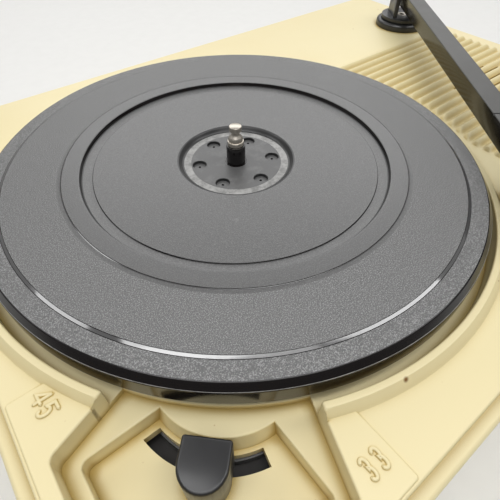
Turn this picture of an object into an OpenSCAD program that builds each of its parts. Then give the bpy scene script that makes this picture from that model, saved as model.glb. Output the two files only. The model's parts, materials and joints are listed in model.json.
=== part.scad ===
// Portable record player for seven inch records: a cream case in two mouldings,
// a black friction-driven platter and a straight black pick-up arm.
// Millimetres, +Z up. The origin is on the table, under the middle of the case.

/* [Case] */
// Overall width of the case
case_w = 310; // [300:1:330]
// Overall depth of the case
case_d = 232; // [228:1:250]
// Corner radius of the case in plan
case_corner_r = 12; // [9:1:16]
// Wall thickness of the case
wall = 3; // [2.4:0.2:3.6]
// Thickness of the floor of the lower case
floor_t = 3; // [2.4:0.2:4]
// Height of the deck surface above the table
deck_h = 78; // [74:1:95]
// Thickness of the deck plate
deck_t = 3; // [2.6:0.2:3.4]
// Depth of the seam below the deck surface
seam_drop = 18; // [15:1:24]
// Height of the locating rim inside the seam
seam_rim_h = 4; // [2:0.5:6]
// Width of the ledge around the deck
ledge_w = 4; // [3:0.5:6]
// Drop of the ledge below the deck surface
ledge_drop = 2.3; // [1.5:0.1:3]
// Height of the feet
foot_h = 6; // [4:0.5:10]
// Radius of the feet
foot_r = 9; // [7:0.5:11]
// Distance of the feet and case screws from the sides
corner_inset = 14; // [13:0.5:16]
// Distance of the feet from the case screws
foot_shift = 22; // [18:1:30]

/* [Platter] */
// Outer radius of the platter at the foot of its bevel
platter_r = 91.75; // [88:0.25:94]
// Height of the platter's raised ring above the deck
ring_rise = 9.15; // [8.5:0.05:11]
// Height of the skirt below the raised ring
skirt_h = 9.15; // [8.6:0.05:9.5]
// Thickness of the skirt
skirt_t = 3; // [2.4:0.2:4]
// Width of the bevel at the rim
bevel_w = 1.75; // [1:0.25:2.5]
// Height of the bevel at the rim
bevel_h = 2.35; // [1.5:0.05:3]
// Inner radius of the raised ring
ring_in_r = 57.6; // [55:0.2:60]
// Outer radius of the raised ring
ring_out_r = 62.2; // [61:0.2:66]
// Radius of the label recess at its floor
label_floor_r = 53.6; // [51:0.2:54.8]
// Depth of the label recess
label_depth = 1.6; // [1:0.1:2]
// Radius where the record zone ends
record_zone_r = 83.1; // [80:0.1:85]
// Radius of the hub recess at its floor
hub_floor_r = 20.2; // [19:0.2:21]
// Radius of the hub recess at its edge
hub_edge_r = 22; // [21.2:0.2:24]
// Depth of the hub floor below the raised ring
hub_depth = 3.3; // [2.6:0.1:3.6]
// Radius of the hub disc
hub_disc_r = 17.2; // [16.8:0.1:18]
// Thickness of the hub disc
hub_disc_t = 0.8; // [0.6:0.1:1]
// Radius of the circle of hub holes
hub_hole_circle_r = 14.1; // [13.5:0.1:14.4]
// Radius of one hub hole
hub_hole_r = 2.6; // [2:0.1:2.7]
// Direction of the first hub hole
hub_hole_dir = 33; // [0:1:59]

/* [Spindle] */
// Radius of the black sleeve that centres a record
sleeve_r = 3.55; // [3.4:0.01:3.6]
// Height of the sleeve above the raised ring
sleeve_rise = 4; // [3:0.1:5]
// Radius of the steel shaft
shaft_r = 2; // [1.8:0.1:2.4]
// Radius of the plated tip
tip_r = 3.05; // [2.8:0.05:3.3]
// Radius of the tip's neck
tip_neck_r = 1.2; // [1:0.1:1.6]
// Radius of the tip's head
tip_head_r = 2.7; // [2.2:0.1:2.8]
// Height of the tip above the sleeve
tip_h = 7.7; // [7:0.1:9]
// Length of the bearing bush
bush_len = 24; // [18:1:26]

/* [Well] */
// Gap between the platter and the lip of the well
well_gap = 2.9; // [2.5:0.1:4]
// Width of the lip's flat top
lip_w = 2.15; // [1.8:0.05:3]
// Width of the lip's sloped outer face
lip_slope_w = 2; // [1:0.1:2.6]
// Height of the lip above the deck
lip_h = 2.65; // [2:0.05:4]
// Depth of the well below the deck
well_depth = 5.25; // [5:0.05:6]
// Room between the lip's foot and the ledge on the left
left_margin = 2.2; // [1.5:0.1:6]

/* [Corner recess] */
// Polar angle where the recess's left wall leaves the well
recess_left_at = 212.8; // [211:0.1:215]
// Direction of the recess's left wall
recess_left_dir = 200.3; // [197:0.1:204]
// Polar angle where the recess's right wall leaves the well
recess_right_at = 245.5; // [244:0.1:247]
// Direction of the recess's right wall
recess_right_dir = 249; // [246:0.1:252]
// Rim left between the recess and the ledge
recess_margin = 5; // [4:0.5:7]
// Legs of the recess's corner chamfer
recess_chamfer = 22; // [18:1:26]
// Depth of the recess floor below the well
recess_drop = 2.25; // [1.5:0.05:2.5]
// Distance of the recess floor's inner edge inside the platter's rim
recess_inset = 1.55; // [1:0.05:2]
// Depth of the lever pocket below the recess
pocket_depth = 6.5; // [6:0.25:6.75]
// Step left between the recess and the pocket
pocket_margin = 4; // [3:0.5:6]
// Offset of the pocket's sides from the motor axis
pocket_side = 1.3; // [1:0.1:2]
// Radius of the motor hump at the recess floor
hump_r = 22.7; // [22:0.1:23.4]
// Draft of the motor hump over the pocket's depth
hump_draft = 1.2; // [0.6:0.1:1.4]
// Reach of the hump past the pocket's inner edge
hump_proud = 6.5; // [6:0.1:7]
// Rise of the corner panel that carries the speed numbers
panel_rise = 0.35; // [0.2:0.05:0.6]
// Back edge of the corner panel, in front of the spindle
panel_back = 38.7; // [36:0.1:42]
// Right edge of the corner panel, left of the spindle
panel_right = 33.2; // [31:0.1:35]
// Height of a speed number
digit_h = 5.4; // [4:0.1:6]
// Rise of a speed number
digit_rise = 0.5; // [0.3:0.05:0.8]

/* [Speaker] */
// Radius of the speaker
speaker_r = 33; // [31:0.5:34]
// Distance of the speaker's axis from the front
speaker_front = 86; // [84:1:92]
// Depth of the speaker
speaker_depth = 30; // [26:0.5:34]
// Pitch of the grille ribs
rib_pitch = 5.27; // [4.8:0.01:6]
// Room between the grille ribs and the arm's base or the dials
rib_margin = 5.3; // [4:0.1:8]
// Rise of a rib above the deck
rib_rise = 1.1; // [0.8:0.05:1.1]
// Width of a sound slot
slot_w = 0.8; // [0.6:0.1:1.2]

/* [Drive] */
// Distance of the motor axis inside the skirt
motor_inset = 14; // [13.5:0.25:14.5]
// Direction of the motor from the spindle
motor_dir = 230.75; // [230:0.25:232]
// Radius of the motor pulley's step for 45 turns a minute
pulley_r = 2.75; // [2.4:0.05:3.2]
// Radius of the idler wheel over its tyre
idler_r = 19; // [17:0.25:20]
// Thickness of the idler's tyre
tyre_t = 2.5; // [2:0.1:2.6]
// Rise and fall of the idler from its middle position
idler_shift = 1.15; // [1:0.05:1.2]
// Running gap of the friction drive
drive_gap = 0.3; // [0.25:0.05:0.4]
// Turn of the speed lever each way from its middle
lever_turn = 20; // [16:1:21]
// Width of the speed lever
lever_w = 8; // [6:0.5:8.5]
// Radius of the motor's mounting circle
mount_circle_r = 34; // [33.5:0.25:36]
// Drop of the motor plate below the deck surface
motor_plate_drop = 21.75; // [21.75:0.25:24]
// Thickness of the motor plate
motor_plate_t = 1.5; // [1.2:0.1:2]
// Height of the motor's laminations
stack_h = 14; // [12:0.5:18]
// Radius of the rotor
rotor_r = 10.5; // [9:0.25:11]
// Radius of the motor shaft
motor_shaft_r = 1.5; // [1.3:0.05:1.6]

/* [Arm] */
// Distance of the arm pivot from the right side
pivot_right = 26.6; // [24:0.2:30]
// Distance of the arm pivot from the back
pivot_back = 56; // [50:1:58]
// Width of the arm
arm_w = 9; // [8:0.25:10]
// Height of the arm
arm_h = 9; // [8:0.25:10]
// Wall thickness of the arm and the head
arm_wall = 1.5; // [1.2:0.1:1.8]
// Gap in plan between the resting arm and the platter
arm_side_gap = 4.85; // [4:0.05:6]
// Height of the arm's underside above the raised ring
arm_clear = 2.3; // [2:0.1:4]
// How far the needle falls short of the spindle
underhang = 0.5; // [0:0.1:3]
// Length of the arm behind the pivot
arm_tail = 14; // [13:0.5:16]
// Length of the head from its joint to its nose
head_len = 39; // [37:0.5:41]
// Distance from the needle to the nose of the head
nose_len = 15.5; // [13:0.5:17]
// Width of the head
head_w = 15; // [13:0.5:17]
// Height of the head's rim above the raised ring
head_clear = 3.3; // [3:0.1:4]
// Height of the needle's tip above the raised ring
needle_clear = 1.9; // [1.7:0.1:2.2]
// Radius of the arm's lifting pin
pin_r = 1.5; // [1.3:0.1:1.8]
// Radius of the arm's base
base_r = 15; // [13.5:0.5:18]
// Height of the arm's base
base_h = 4; // [3.5:0.25:5]
// Distance of the arm rest behind the needle
rest_behind = 15.5; // [14.5:0.5:17]

/* [Dials] */
// Radius of a dial
dial_r = 14; // [12:0.5:15]
// Height of a dial
dial_h = 13; // [11:0.5:16]
// Distance between the two dials
dial_spacing = 36; // [34:0.5:38]
// Distance of the right dial from the right side
dial_right = 32; // [28:0.5:34]
// Distance of the dials from the front
dial_front = 36; // [32:0.5:40]
// Radius of a dial's shaft
dial_shaft_r = 3; // [2.5:0.1:3.2]

/* [Electrics] */
// Width of the amplifier board
board_w = 96; // [80:1:100]
// Depth of the amplifier board
board_d = 56; // [48:1:62]
// Height of the board's posts
board_post_h = 6; // [5:0.5:10]
// Distance of the board from the right side and the front
board_inset = 24; // [22:1:28]
// Width of the transformer
core_w = 44; // [38:1:48]
// Distance of the transformer's middle from the left side
core_left = 70; // [60:1:80]
// Distance of the transformer's middle from the back
core_back = 34; // [32:1:38]
// Distance of the mains inlet from the left side
inlet_left = 120; // [112:1:130]

/* [Fits] */
// Radial clearance of a shaft that turns or slides in its bearing
run_gap = 0.05; // [0.02:0.01:0.08]
// Radial clearance of a piece that is pressed or screwed in
seat_gap = 0.02; // [0.01:0.01:0.04]
// Clearance between mouldings
mould_gap = 0.3; // [0.2:0.05:0.5]
// Radius of the thread of the small screws
screw_r = 1.5; // [1.25:0.05:1.7]

/* [Hidden] */
$fn = 96;
eps = 0.01;
over = 1;

// Levels
deck_z = deck_h;
ledge_z = deck_z - ledge_drop;
under_z = deck_z - deck_t;
seam_z = deck_z - seam_drop;
ring_z = deck_z + ring_rise;
well_z = deck_z - well_depth;
well_under_z = well_z - deck_t;
recess_z = well_z - recess_drop;
recess_under_z = recess_z - deck_t;
pocket_z = recess_z - pocket_depth;
lip_z = deck_z + lip_h;
floor_z = foot_h + floor_t;

// Plan of the deck
well_r = platter_r + well_gap;
recess_in_r = platter_r - recess_inset;
lip_r = well_r + lip_w;
lip_foot_r = lip_r + lip_slope_w;
left_x = -case_w / 2;
right_x = case_w / 2;
front_y = -case_d / 2;
back_y = case_d / 2;
spindle = [left_x + ledge_w + left_margin + lip_foot_r, 0];
main_left = left_x + ledge_w;
main_front = front_y + ledge_w;
corners = [for (sx = [-1, 1], sy = [-1, 1])
    [sx * (case_w / 2 - corner_inset), sy * (case_d / 2 - corner_inset)]];

// Platter profile, as heights below the raised ring
record_drop = 0.25;
rim_drop = 0.7;
rim_slope_w = 1.5;
web_under = 3.4;
label_under = 4.2;
hub_under = 6.2;
hub_hole_depth = 1.2;
hub_boss_r = 9;
hub_boss_under = 12;
web_step_r = 50;
rim_top_r = platter_r - bevel_w;
skirt_in_r = platter_r - skirt_t;

// Spindle and its bearing
sleeve_foot_r = sleeve_r + 0.65;
tip_collar_h = 2.2;
tip_flange_h = 1.9;
tip_head_h = 0.8;
tip_flange_r = tip_r - 0.25;
bush_r = shaft_r + 2.5;
housing_r = bush_r + 3;
housing_flange_r = housing_r + 9.5;
bush_top_z = well_z + 1.75;
bush_bottom_z = bush_top_z - bush_len;
pad_t = 3;
housing_flange_t = 3;
bearing_screw_r = housing_r + 5.5;

// Drive
motor = spindle + (skirt_in_r - motor_inset) * [cos(motor_dir), sin(motor_dir)];
pulley_slow_r = pulley_r * (100 / 3) / 45;
pulley_mid_z = ring_z - 6.1;
pulley_top_z = ring_z - web_under - 0.4;
pulley_bottom_z = ring_z - 9;
idler_spindle_d = skirt_in_r - idler_r - drive_gap;
idler_motor_d = idler_r + pulley_r + drive_gap;
motor_d = skirt_in_r - motor_inset;
idler_swing = acos((motor_d * motor_d + idler_spindle_d * idler_spindle_d
    - idler_motor_d * idler_motor_d) / (2 * motor_d * idler_spindle_d));
idler = spindle + idler_spindle_d * [cos(motor_dir - idler_swing), sin(motor_dir - idler_swing)];
idler_dir = atan2(idler[1] - motor[1], idler[0] - motor[0]);
idler_rim_w = 3;
idler_web_t = 1.4;
idler_hub_r = 5;
idler_hub_h = 3;
idler_hub_z = pulley_mid_z + (tyre_t - idler_web_t) / 2 - idler_hub_h;
idler_pin_r = 2;
idler_journal_r = 1.5;
idler_clip_t = 0.5;
idler_pin_tip = 0.2;
idler_clip_r = idler_journal_r + 1.5;
guide_r = 5;
guide_top_z = well_z + 2.2;
guide_bottom_z = well_under_z - 2.5;

// Speed lever, which turns about the motor axis
lever_dir = 225;
lever_boss_r = 12;
lever_bore_r = 8;
lever_t = 2.5;
motor_plate_z = deck_z - motor_plate_drop;
lever_washer_t = 1.45;
lever_z = motor_plate_z + lever_washer_t + run_gap;
lever_boss_bottom_z = motor_plate_z + 1;
hump_foot_r = hump_r + hump_draft;
slot_in_r = hump_foot_r + 1.2;
slot_margin = 2;
arc_slot_w = 5;
slot_mid_r = slot_in_r + arc_slot_w / 2;
stalk_t = 3;
slot_end = 50;
slot_half = lever_turn + asin(lever_w / 2 / slot_in_r) + 1.5;
ramp_w = 7;
ramp_half = lever_turn + 8;
lever_ring_r = idler_motor_d + ramp_w / 2;
ramp_slope = idler_shift / (idler_motor_d * sin(lever_turn));
ramp_half_l = idler_motor_d * sin(ramp_half);
ramp_mid_h = ramp_half_l * ramp_slope + 0.35;
ramp_mid_z = lever_z + lever_t + ramp_mid_h;
idler_pin_z = ramp_mid_z + 0.35;
knob_r = lever_w / 2 + 2;
knob_wall = 0.8;
stalk_grip = 8;
knob_mid_r = slot_mid_r + knob_r - stalk_t / 2 - knob_wall;
knob_z = pocket_z + 0.8;
knob_top_z = deck_z + 2;

// Motor, hung below its plate on three grommets
mount_dirs = [30, 150, 310];
grommet_r = 6.5;
grommet_flange_t = 2;
grommet_neck_r = 4;
mount_post_r = 4;
motor_plate_r = mount_circle_r + grommet_r + 1.5;
stack_w = 46;
stack_front = 20;
stack_back = 38;
stack_drop = 11;
stack_top_z = motor_plate_z - motor_plate_t - stack_drop;
stack_bottom_z = stack_top_z - stack_h;
strap_t = 2;
strap_w = 12;
strap_gap = 4;
upper_strap_z = stack_top_z + strap_gap;
lower_strap_z = stack_bottom_z - strap_gap - strap_t;
strap_screw_x = 19;
limb_w = 14;
window_w = 11;
window_y = 15;
window_l = 19;
coil_wrap = 8;
coil_end_gap = 1;
motor_bush_r = 4;
motor_bush_h = 4;
spacer_r = 3;

// Arm, along its own line from the pivot to the needle
pivot = [right_x - pivot_right, back_y - pivot_back];
pivot_d = norm(pivot - spindle);
arm_offset = platter_r + arm_side_gap + arm_w / 2;
arm_dir = atan2(spindle[1] - pivot[1], spindle[0] - pivot[0]) + 360 + asin(arm_offset / pivot_d);
arm_len = pivot_d - underhang;
arm_z = ring_z + arm_clear;
arm_top_z = arm_z + arm_h;
head_start = arm_len + nose_len - head_len;
head_end = arm_len + nose_len;
head_gap = 0.4;
head_neck = 2.5;
head_flare = 6.5;
groove_at = head_start - 16.4;
groove = 0.6;
head_nose_w = 9;
head_nose = 6;
head_z = ring_z + head_clear;
tongue_l = 12;
pin_z = arm_z + arm_h / 2;
ear_t = 2.5;
ear_gap = 0.4;
ear_half_l = 7;
yoke_r = base_r - 2.5;
yoke_z = deck_z + base_h + mould_gap;
yoke_t = 2;
ear_top_z = pin_z + 5;
swing_shaft_r = 3;
wire_bore_r = 1.5;
stem_r = 6;
stem_bottom_z = under_z - 6;
base_nut_r = 10;
base_nut_t = 4;
clip_t = 1;
clip_r = swing_shaft_r + 2.5;
rest_at = arm_len - rest_behind;
rest_post_r = 2.2;
rest_spigot_r = 1.5;
rest_l = 6;
rest_w = arm_w + 3;
rest_t = 1.5;
rest_gap = 0.2;
rest_top_z = ring_z + head_clear - rest_gap;
cart_l = 18;
cart_w = 10;
cart_h = arm_top_z - arm_wall - head_z - 0.5;
needle_r = 0.5;
cantilever_l = 7;
lift_tab_l = 8;
lift_tab_w = 9;
lift_tab_t = 1.4;

// Dials and their potentiometers
dials = [[right_x - dial_right - dial_spacing, front_y + dial_front],
    [right_x - dial_right, front_y + dial_front]];
dial_gap = 0.6;
dial_z = deck_z + dial_gap;
dial_cavity_h = 3.5;
dial_cavity_r = dial_r - 4.5;
dial_top_t = 3;
dial_flutes = 30;
dial_flute_r = 0.7;
pot_r = 8.5;
pot_h = 9;
pot_bush_r = dial_shaft_r + 1.5;
pot_bush_h = deck_t + 2;
pot_nut_r = pot_bush_r + 2;
pot_nut_t = pot_bush_h - deck_t;
pot_shaft_z = under_z - pot_h + 1.5;

// Speaker, hung below the deck
well_end_x = spindle[0] + well_r + wall;
speaker = [(right_x - wall + well_end_x) / 2, front_y + speaker_front];
speaker_post_h = 3;
speaker_top_z = under_z - speaker_post_h;
speaker_flange_t = 1.2;
speaker_flange_w = 5;
speaker_screw_circle_r = speaker_r + 2.5;
speaker_ear_r = 4;
basket_r = 0.45 * speaker_r;
basket_t = 1;
magnet_r = 0.5 * speaker_r;
magnet_h = 11;
basket_h = speaker_depth - magnet_h;
cone_neck_r = 0.26 * speaker_r;
cone_t = 0.6;
cone_gap = 0.5;
speaker_post_r = 3.5;
grille_r = speaker_r - speaker_flange_w - 1;
rib_start_r = lip_foot_r + 3.5;
rib_start_x = spindle[0] + platter_r;
rib_end_x = right_x - ledge_w - 10;
ribs_back = floor((pivot[1] - base_r - rib_margin) / rib_pitch);
ribs_front = floor((-dials[0][1] - dial_r - rib_margin) / rib_pitch);
rib_half_w = 0.52 * rib_pitch;
rib_r = (rib_half_w * rib_half_w + rib_rise * rib_rise) / (2 * rib_rise);

// Electrics
board_t = 1.6;
board = [right_x - board_inset - board_w / 2, front_y + board_inset + board_d / 2];
board_z = floor_z + board_post_h;
board_post_r = 3.5;
board_hole_inset = 5;
cap_r = 7;
cap_h = 22;
cap_pitch = 18;
fin_count = 5;
fin_pitch = 4;
fin_h = 18;
fin_t = 1;
fin_l = 30;
core_d = 16;
core_h = 36;
core_foot_t = 2;
core_foot_w = 10;
core = [left_x + core_left, back_y - core_back];
core_window_h = 18;
core_leg_w = 11;
core_coil_wrap = 8;
inlet_x = left_x + inlet_left;
inlet_w = 26;
inlet_h = 18;
inlet_depth = 16;
inlet_back_t = 2;
inlet_flange_w = 4;
inlet_flange_t = 1.5;
inlet_z = floor_z + 12;
inlet_socket_w = 18;
inlet_socket_h = 10;
inlet_pin_r = 1.2;
inlet_pin_sunk = 4;
inlet_pin_pitch = 10;

// Vents under the motor
vent_pitch = 7;
vent_l = 44;
vent_w = 2.5;

// Screws
screw_head_r = screw_r * 2;
screw_head_h = screw_r * 1.2;
case_post_r = 5;
case_screw_grip = 12;

// Outlines of the corner recess and its pocket
recess_x = main_left + recess_margin;
recess_y = main_front + recess_margin;
recess_left = spindle + well_r * [cos(recess_left_at), sin(recess_left_at)];
recess_right = spindle + well_r * [cos(recess_right_at), sin(recess_right_at)];
left_run = [cos(recess_left_dir), sin(recess_left_dir)];
right_run = [cos(recess_right_dir), sin(recess_right_dir)];
recess_into_well = 15;
recess_outline = [
    recess_left - recess_into_well * left_run,
    meet(recess_left, left_run, [recess_x, 0], [0, 1]),
    [recess_x, recess_y + recess_chamfer],
    [recess_x + recess_chamfer, recess_y],
    meet(recess_right, right_run, [0, recess_y], [1, 0]),
    recess_right - recess_into_well * right_run];

crease_d = hump_r - hump_proud;
crease_reach = crease_d * sqrt(2) - pocket_side;
pocket_x = recess_x + pocket_margin;
pocket_y = recess_y + pocket_margin;
pocket_chamfer = recess_chamfer - pocket_margin * (2 - sqrt(2));
pocket_outline = [
    motor + [-crease_reach, -pocket_side],
    [pocket_x, motor[1] - pocket_side],
    [pocket_x, pocket_y + pocket_chamfer],
    [pocket_x + pocket_chamfer, pocket_y],
    [motor[0] - pocket_side, pocket_y],
    motor + [-pocket_side, -crease_reach]];

// Places of the screws and posts
mount_points = [for (a = mount_dirs) motor + mount_circle_r * [cos(a), sin(a)]];
speaker_points = [for (a = [45 : 90 : 315]) speaker + speaker_screw_circle_r * [cos(a), sin(a)]];
bearing_points = [for (a = [90 : 120 : 330]) spindle + bearing_screw_r * [cos(a), sin(a)]];
board_points = [for (sx = [-1, 1], sy = [-1, 1]) board
    + [sx * (board_w / 2 - board_hole_inset), sy * (board_d / 2 - board_hole_inset)]];
strap_points = [for (sx = [-1, 1]) motor + [sx * strap_screw_x, 0]];
rest_point = pivot + rest_at * [cos(arm_dir), sin(arm_dir)];
foot_points = [for (c = corners) c - [sign(c[0]) * foot_shift, 0]];

// Outlines of the head and the room inside it, along the arm
head_plan = [[head_start, -arm_w / 2], [head_start + head_neck, -arm_w / 2],
    [head_start + head_neck + head_flare, -head_w / 2], [head_end - head_nose, -head_w / 2],
    [head_end, -head_nose_w / 2], [head_end, head_nose_w / 2], [head_end - head_nose, head_w / 2],
    [head_start + head_neck + head_flare, head_w / 2], [head_start + head_neck, arm_w / 2],
    [head_start, arm_w / 2]];
head_room = [[head_start + head_neck + head_flare, -head_w / 2 + arm_wall],
    [head_end - head_nose, -head_w / 2 + arm_wall], [head_end - arm_wall, -head_nose_w / 2 + arm_wall],
    [head_end - arm_wall, head_nose_w / 2 - arm_wall], [head_end - head_nose, head_w / 2 - arm_wall],
    [head_start + head_neck + head_flare, head_w / 2 - arm_wall]];

// Numbers drawn with strokes of one width
stroke = digit_h * 0.16;
digit_w = digit_h * 0.62;
bowl_r = digit_h * 0.31;
number_gap = 3;
number_edge = 4;
number_left = [meet(recess_left, left_run, [recess_x, 0], [0, 1])[0] + number_edge,
    spindle[1] - panel_back - digit_w - number_gap];
number_right = [spindle[0] - panel_right - digit_w - number_gap, recess_y + number_edge];

// Colours
cream = [0.93, 0.87, 0.68];
black = [0.05, 0.05, 0.055];
dark = [0.12, 0.12, 0.13];
steel = [0.72, 0.72, 0.72];
nickel = [0.78, 0.74, 0.66];
bronze = [0.68, 0.48, 0.25];
rubber = [0.09, 0.09, 0.09];

// Point where the line through p along u meets the line through q along v
function meet(p, u, q, v) = p + u * ((q[0] - p[0]) * v[1] - (q[1] - p[1]) * v[0])
    / (u[0] * v[1] - u[1] * v[0]);

function unit(v) = v / norm(v);

// A convex outline, listed anticlockwise, with every side moved outwards by g
function grown(points, g) = [for (i = [0 : len(points) - 1])
    let (n = len(points),
        a = points[(i + n - 1) % n], b = points[i], c = points[(i + 1) % n],
        u = unit(b - a), v = unit(c - b))
    meet(b + g * [u[1], -u[0]], u, b + g * [v[1], -v[0]], v)];

module at(p, z = 0) { translate([p[0], p[1], z]) children(); }

module rod(p, r, z0, z1) { at(p, z0) cylinder(r = r, h = z1 - z0); }

module tube(p, r, bore, z0, z1) {
    difference() {
        rod(p, r, z0, z1);
        rod(p, bore, z0 - over, z1 + over);
    }
}

module prism(points, z0, z1) { at([0, 0], z0) linear_extrude(z1 - z0) polygon(points); }

module rounded_block(inset, z0, z1) {
    w = case_w - 2 * inset;
    d = case_d - 2 * inset;
    r = max(case_corner_r - inset, 1);
    at([0, 0], z0) linear_extrude(z1 - z0) {
        square([w - 2 * r, d], center = true);
        square([w, d - 2 * r], center = true);
        for (sx = [-1, 1], sy = [-1, 1]) translate([sx * (w / 2 - r), sy * (d / 2 - r)]) circle(r);
    }
}

module block(p, w, d, z0, z1) { at(p - [w, d] / 2, z0) cube([w, d, z1 - z0]); }

// A slot along X with round ends
module slot(p, l, w, z0, z1) {
    at(p, z0) linear_extrude(z1 - z0) {
        square([l - w, w], center = true);
        for (sx = [-1, 1]) translate([sx * (l - w) / 2, 0]) circle(w / 2);
    }
}

// A screw with its head's underside at z and its thread along dir, 1 for up and -1 for down
module screw(p, z, dir, l) {
    at(p, z) mirror([0, 0, dir > 0 ? 0 : 1]) {
        at([0, 0], -screw_head_h) cylinder(r = screw_head_r, h = screw_head_h);
        cylinder(r = screw_r, h = l);
    }
}

// Moves to the pivot, with +X along the arm towards the needle
module on_arm() { at(pivot) rotate(arm_dir) children(); }

module on_motor(dir = 0) { at(motor) rotate(dir) children(); }

// Speed numbers

module bowl(y, from_x) {
    translate([digit_w - bowl_r, y]) difference() {
        circle(bowl_r);
        circle(bowl_r - stroke);
        translate([-2 * bowl_r + from_x, -bowl_r]) square([2 * bowl_r, 2 * bowl_r]);
    }
}

module digit_4() {
    stem_x = digit_w * 0.62;
    bar_y = digit_h * 0.24;
    translate([stem_x, 0]) square([stroke, digit_h]);
    translate([0, bar_y]) square([digit_w, stroke]);
    polygon([[0, bar_y], [stroke * 1.3, bar_y], [stem_x + stroke, digit_h], [stem_x, digit_h]]);
}

module digit_5() {
    bowl(bowl_r, -bowl_r * 0.6);
    translate([digit_w * 0.08, digit_h - stroke]) square([digit_w * 0.86, stroke]);
    translate([digit_w * 0.08, digit_h * 0.5]) square([stroke, digit_h * 0.5]);
    translate([digit_w * 0.08, 2 * bowl_r - stroke]) square([digit_w * 0.5, stroke]);
}

module digit_3() {
    bowl(bowl_r, -bowl_r * 0.3);
    bowl(digit_h - bowl_r, -bowl_r * 0.3);
}

module number_45() {
    translate([-digit_w - stroke / 2, -digit_h / 2]) digit_4();
    translate([stroke / 2, -digit_h / 2]) digit_5();
}

module number_33() {
    translate([-digit_w - stroke / 2, -digit_h / 2]) digit_3();
    translate([stroke / 2, -digit_h / 2]) digit_3();
}

// Case

module lower_case() {
    color(cream) difference() {
        union() {
            difference() {
                union() {
                    rounded_block(0, foot_h, seam_z);
                    rounded_block(wall + mould_gap, foot_h, seam_z + seam_rim_h);
                }
                rounded_block(wall, floor_z, seam_z - seam_rim_h);
                rounded_block(2 * wall + mould_gap, floor_z, seam_z + seam_rim_h + over);
            }
            for (p = corners) rod(p, case_post_r, foot_h + eps, seam_z);
            for (p = board_points) rod(p, board_post_r, floor_z - eps, board_z);
        }
        for (p = corners) rod(p, screw_r + mould_gap, foot_h - over, seam_z + over);
        for (p = corners) rod(p, screw_head_r + mould_gap, foot_h - over, floor_z + screw_head_h);
        for (p = board_points) rod(p, screw_r + seat_gap, floor_z, board_z + over);
        at([inlet_x, back_y], inlet_z) cube([inlet_w + 2 * mould_gap, 4 * wall, inlet_h + 2 * mould_gap],
            center = true);
        for (i = [-3 : 3])
            slot(motor + [0, i * vent_pitch], vent_l, vent_w, foot_h - over, floor_z + over);
    }
}

module deck_shell() {
    difference() {
        union() {
            rounded_block(0, seam_z, ledge_z);
            rounded_block(ledge_w, ledge_z - eps, deck_z);
        }
        rounded_block(wall, seam_z - over, ledge_z - deck_t);
        rounded_block(ledge_w + wall, ledge_z - deck_t - over, under_z);
    }
}

module lip() {
    at(spindle) rotate_extrude() polygon([[well_r - eps, deck_z - eps], [lip_foot_r, deck_z - eps],
        [lip_foot_r, deck_z], [lip_r, lip_z], [well_r - eps, lip_z]]);
}

module corner_panel() {
    intersection() {
        rounded_block(ledge_w, deck_z - eps, deck_z + panel_rise);
        at([main_left, main_front], deck_z - over)
            cube([spindle[0] - panel_right - main_left, spindle[1] - panel_back - main_front, 2 * over]);
    }
}

// A washboard of round ribs along X, each just overlapping the next
module ribs() {
    difference() {
        intersection() {
            for (i = [-ribs_front : ribs_back])
                translate([rib_start_x, i * rib_pitch, deck_z + rib_rise - rib_r])
                    rotate([0, 90, 0]) cylinder(r = rib_r, h = rib_end_x - rib_start_x);
            at([0, -(ribs_front + 1) * rib_pitch], deck_z - over)
                cube([case_w, (ribs_front + ribs_back + 2) * rib_pitch, over + 2 * rib_rise]);
        }
        rod(spindle, rib_start_r, under_z - over, deck_z + 2 * rib_rise + over);
    }
}

module sound_slots() {
    for (i = [-ribs_front : ribs_back - 1]) {
        y = (i + 0.5) * rib_pitch;
        dy = y - speaker[1];
        if (abs(dy) < grille_r) {
            half = sqrt(grille_r * grille_r - dy * dy);
            slot([speaker[0], y], 2 * half, slot_w, under_z - over, deck_z + over);
        }
    }
}

module deck_cuts() {
    rod(spindle, well_r, well_z, lip_z + over);
    difference() {
        prism(recess_outline, recess_z, lip_z + over);
        rod(spindle, recess_in_r, recess_z - over, well_z);
    }
    difference() {
        prism(pocket_outline, pocket_z, recess_z + over);
        at(motor, pocket_z - eps) cylinder(r1 = hump_foot_r, r2 = hump_r, h = pocket_depth + 2 * eps);
        rod(motor, hump_r, recess_z, recess_z + 2 * over);
    }
}

module deck_holes() {
    rod(motor, lever_bore_r, lever_boss_bottom_z - over, well_z + over);
    rod(idler, idler_pin_r + run_gap, guide_bottom_z - over, guide_top_z + over);
    rod(spindle, housing_r + mould_gap, well_under_z - over, well_z + over);
    rod(pivot, stem_r + seat_gap, under_z - over, deck_z + over);
    rod(rest_point, rest_spigot_r + seat_gap, under_z - over, deck_z + over);
    for (p = dials) rod(p, pot_bush_r + seat_gap, under_z - over, deck_z + over);
    for (p = mount_points) rod(p, screw_r + seat_gap, motor_plate_z, well_under_z + 1);
    for (p = corners) rod(p, screw_r + seat_gap, seam_z - over, seam_z + case_screw_grip);
    for (p = speaker_points) rod(p, screw_r + seat_gap, speaker_top_z - over, deck_z - 1);
    for (p = bearing_points) rod(p, screw_r + seat_gap, well_under_z - over, well_z - 0.6);
    intersection() {
        difference() {
            rod(motor, slot_in_r + arc_slot_w, pocket_z - deck_t - over, pocket_z + over);
            rod(motor, slot_in_r, pocket_z - deck_t - 2 * over, pocket_z + 2 * over);
        }
        on_motor(lever_dir) prism(2 * slot_mid_r * [[0, 0], [cos(slot_end), -sin(slot_end)],
            [cos(slot_half), sin(slot_half)]], pocket_z - deck_t - over, pocket_z + over);
        prism(grown(pocket_outline, -slot_margin), pocket_z - deck_t - over, pocket_z + over);
    }
}

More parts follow.
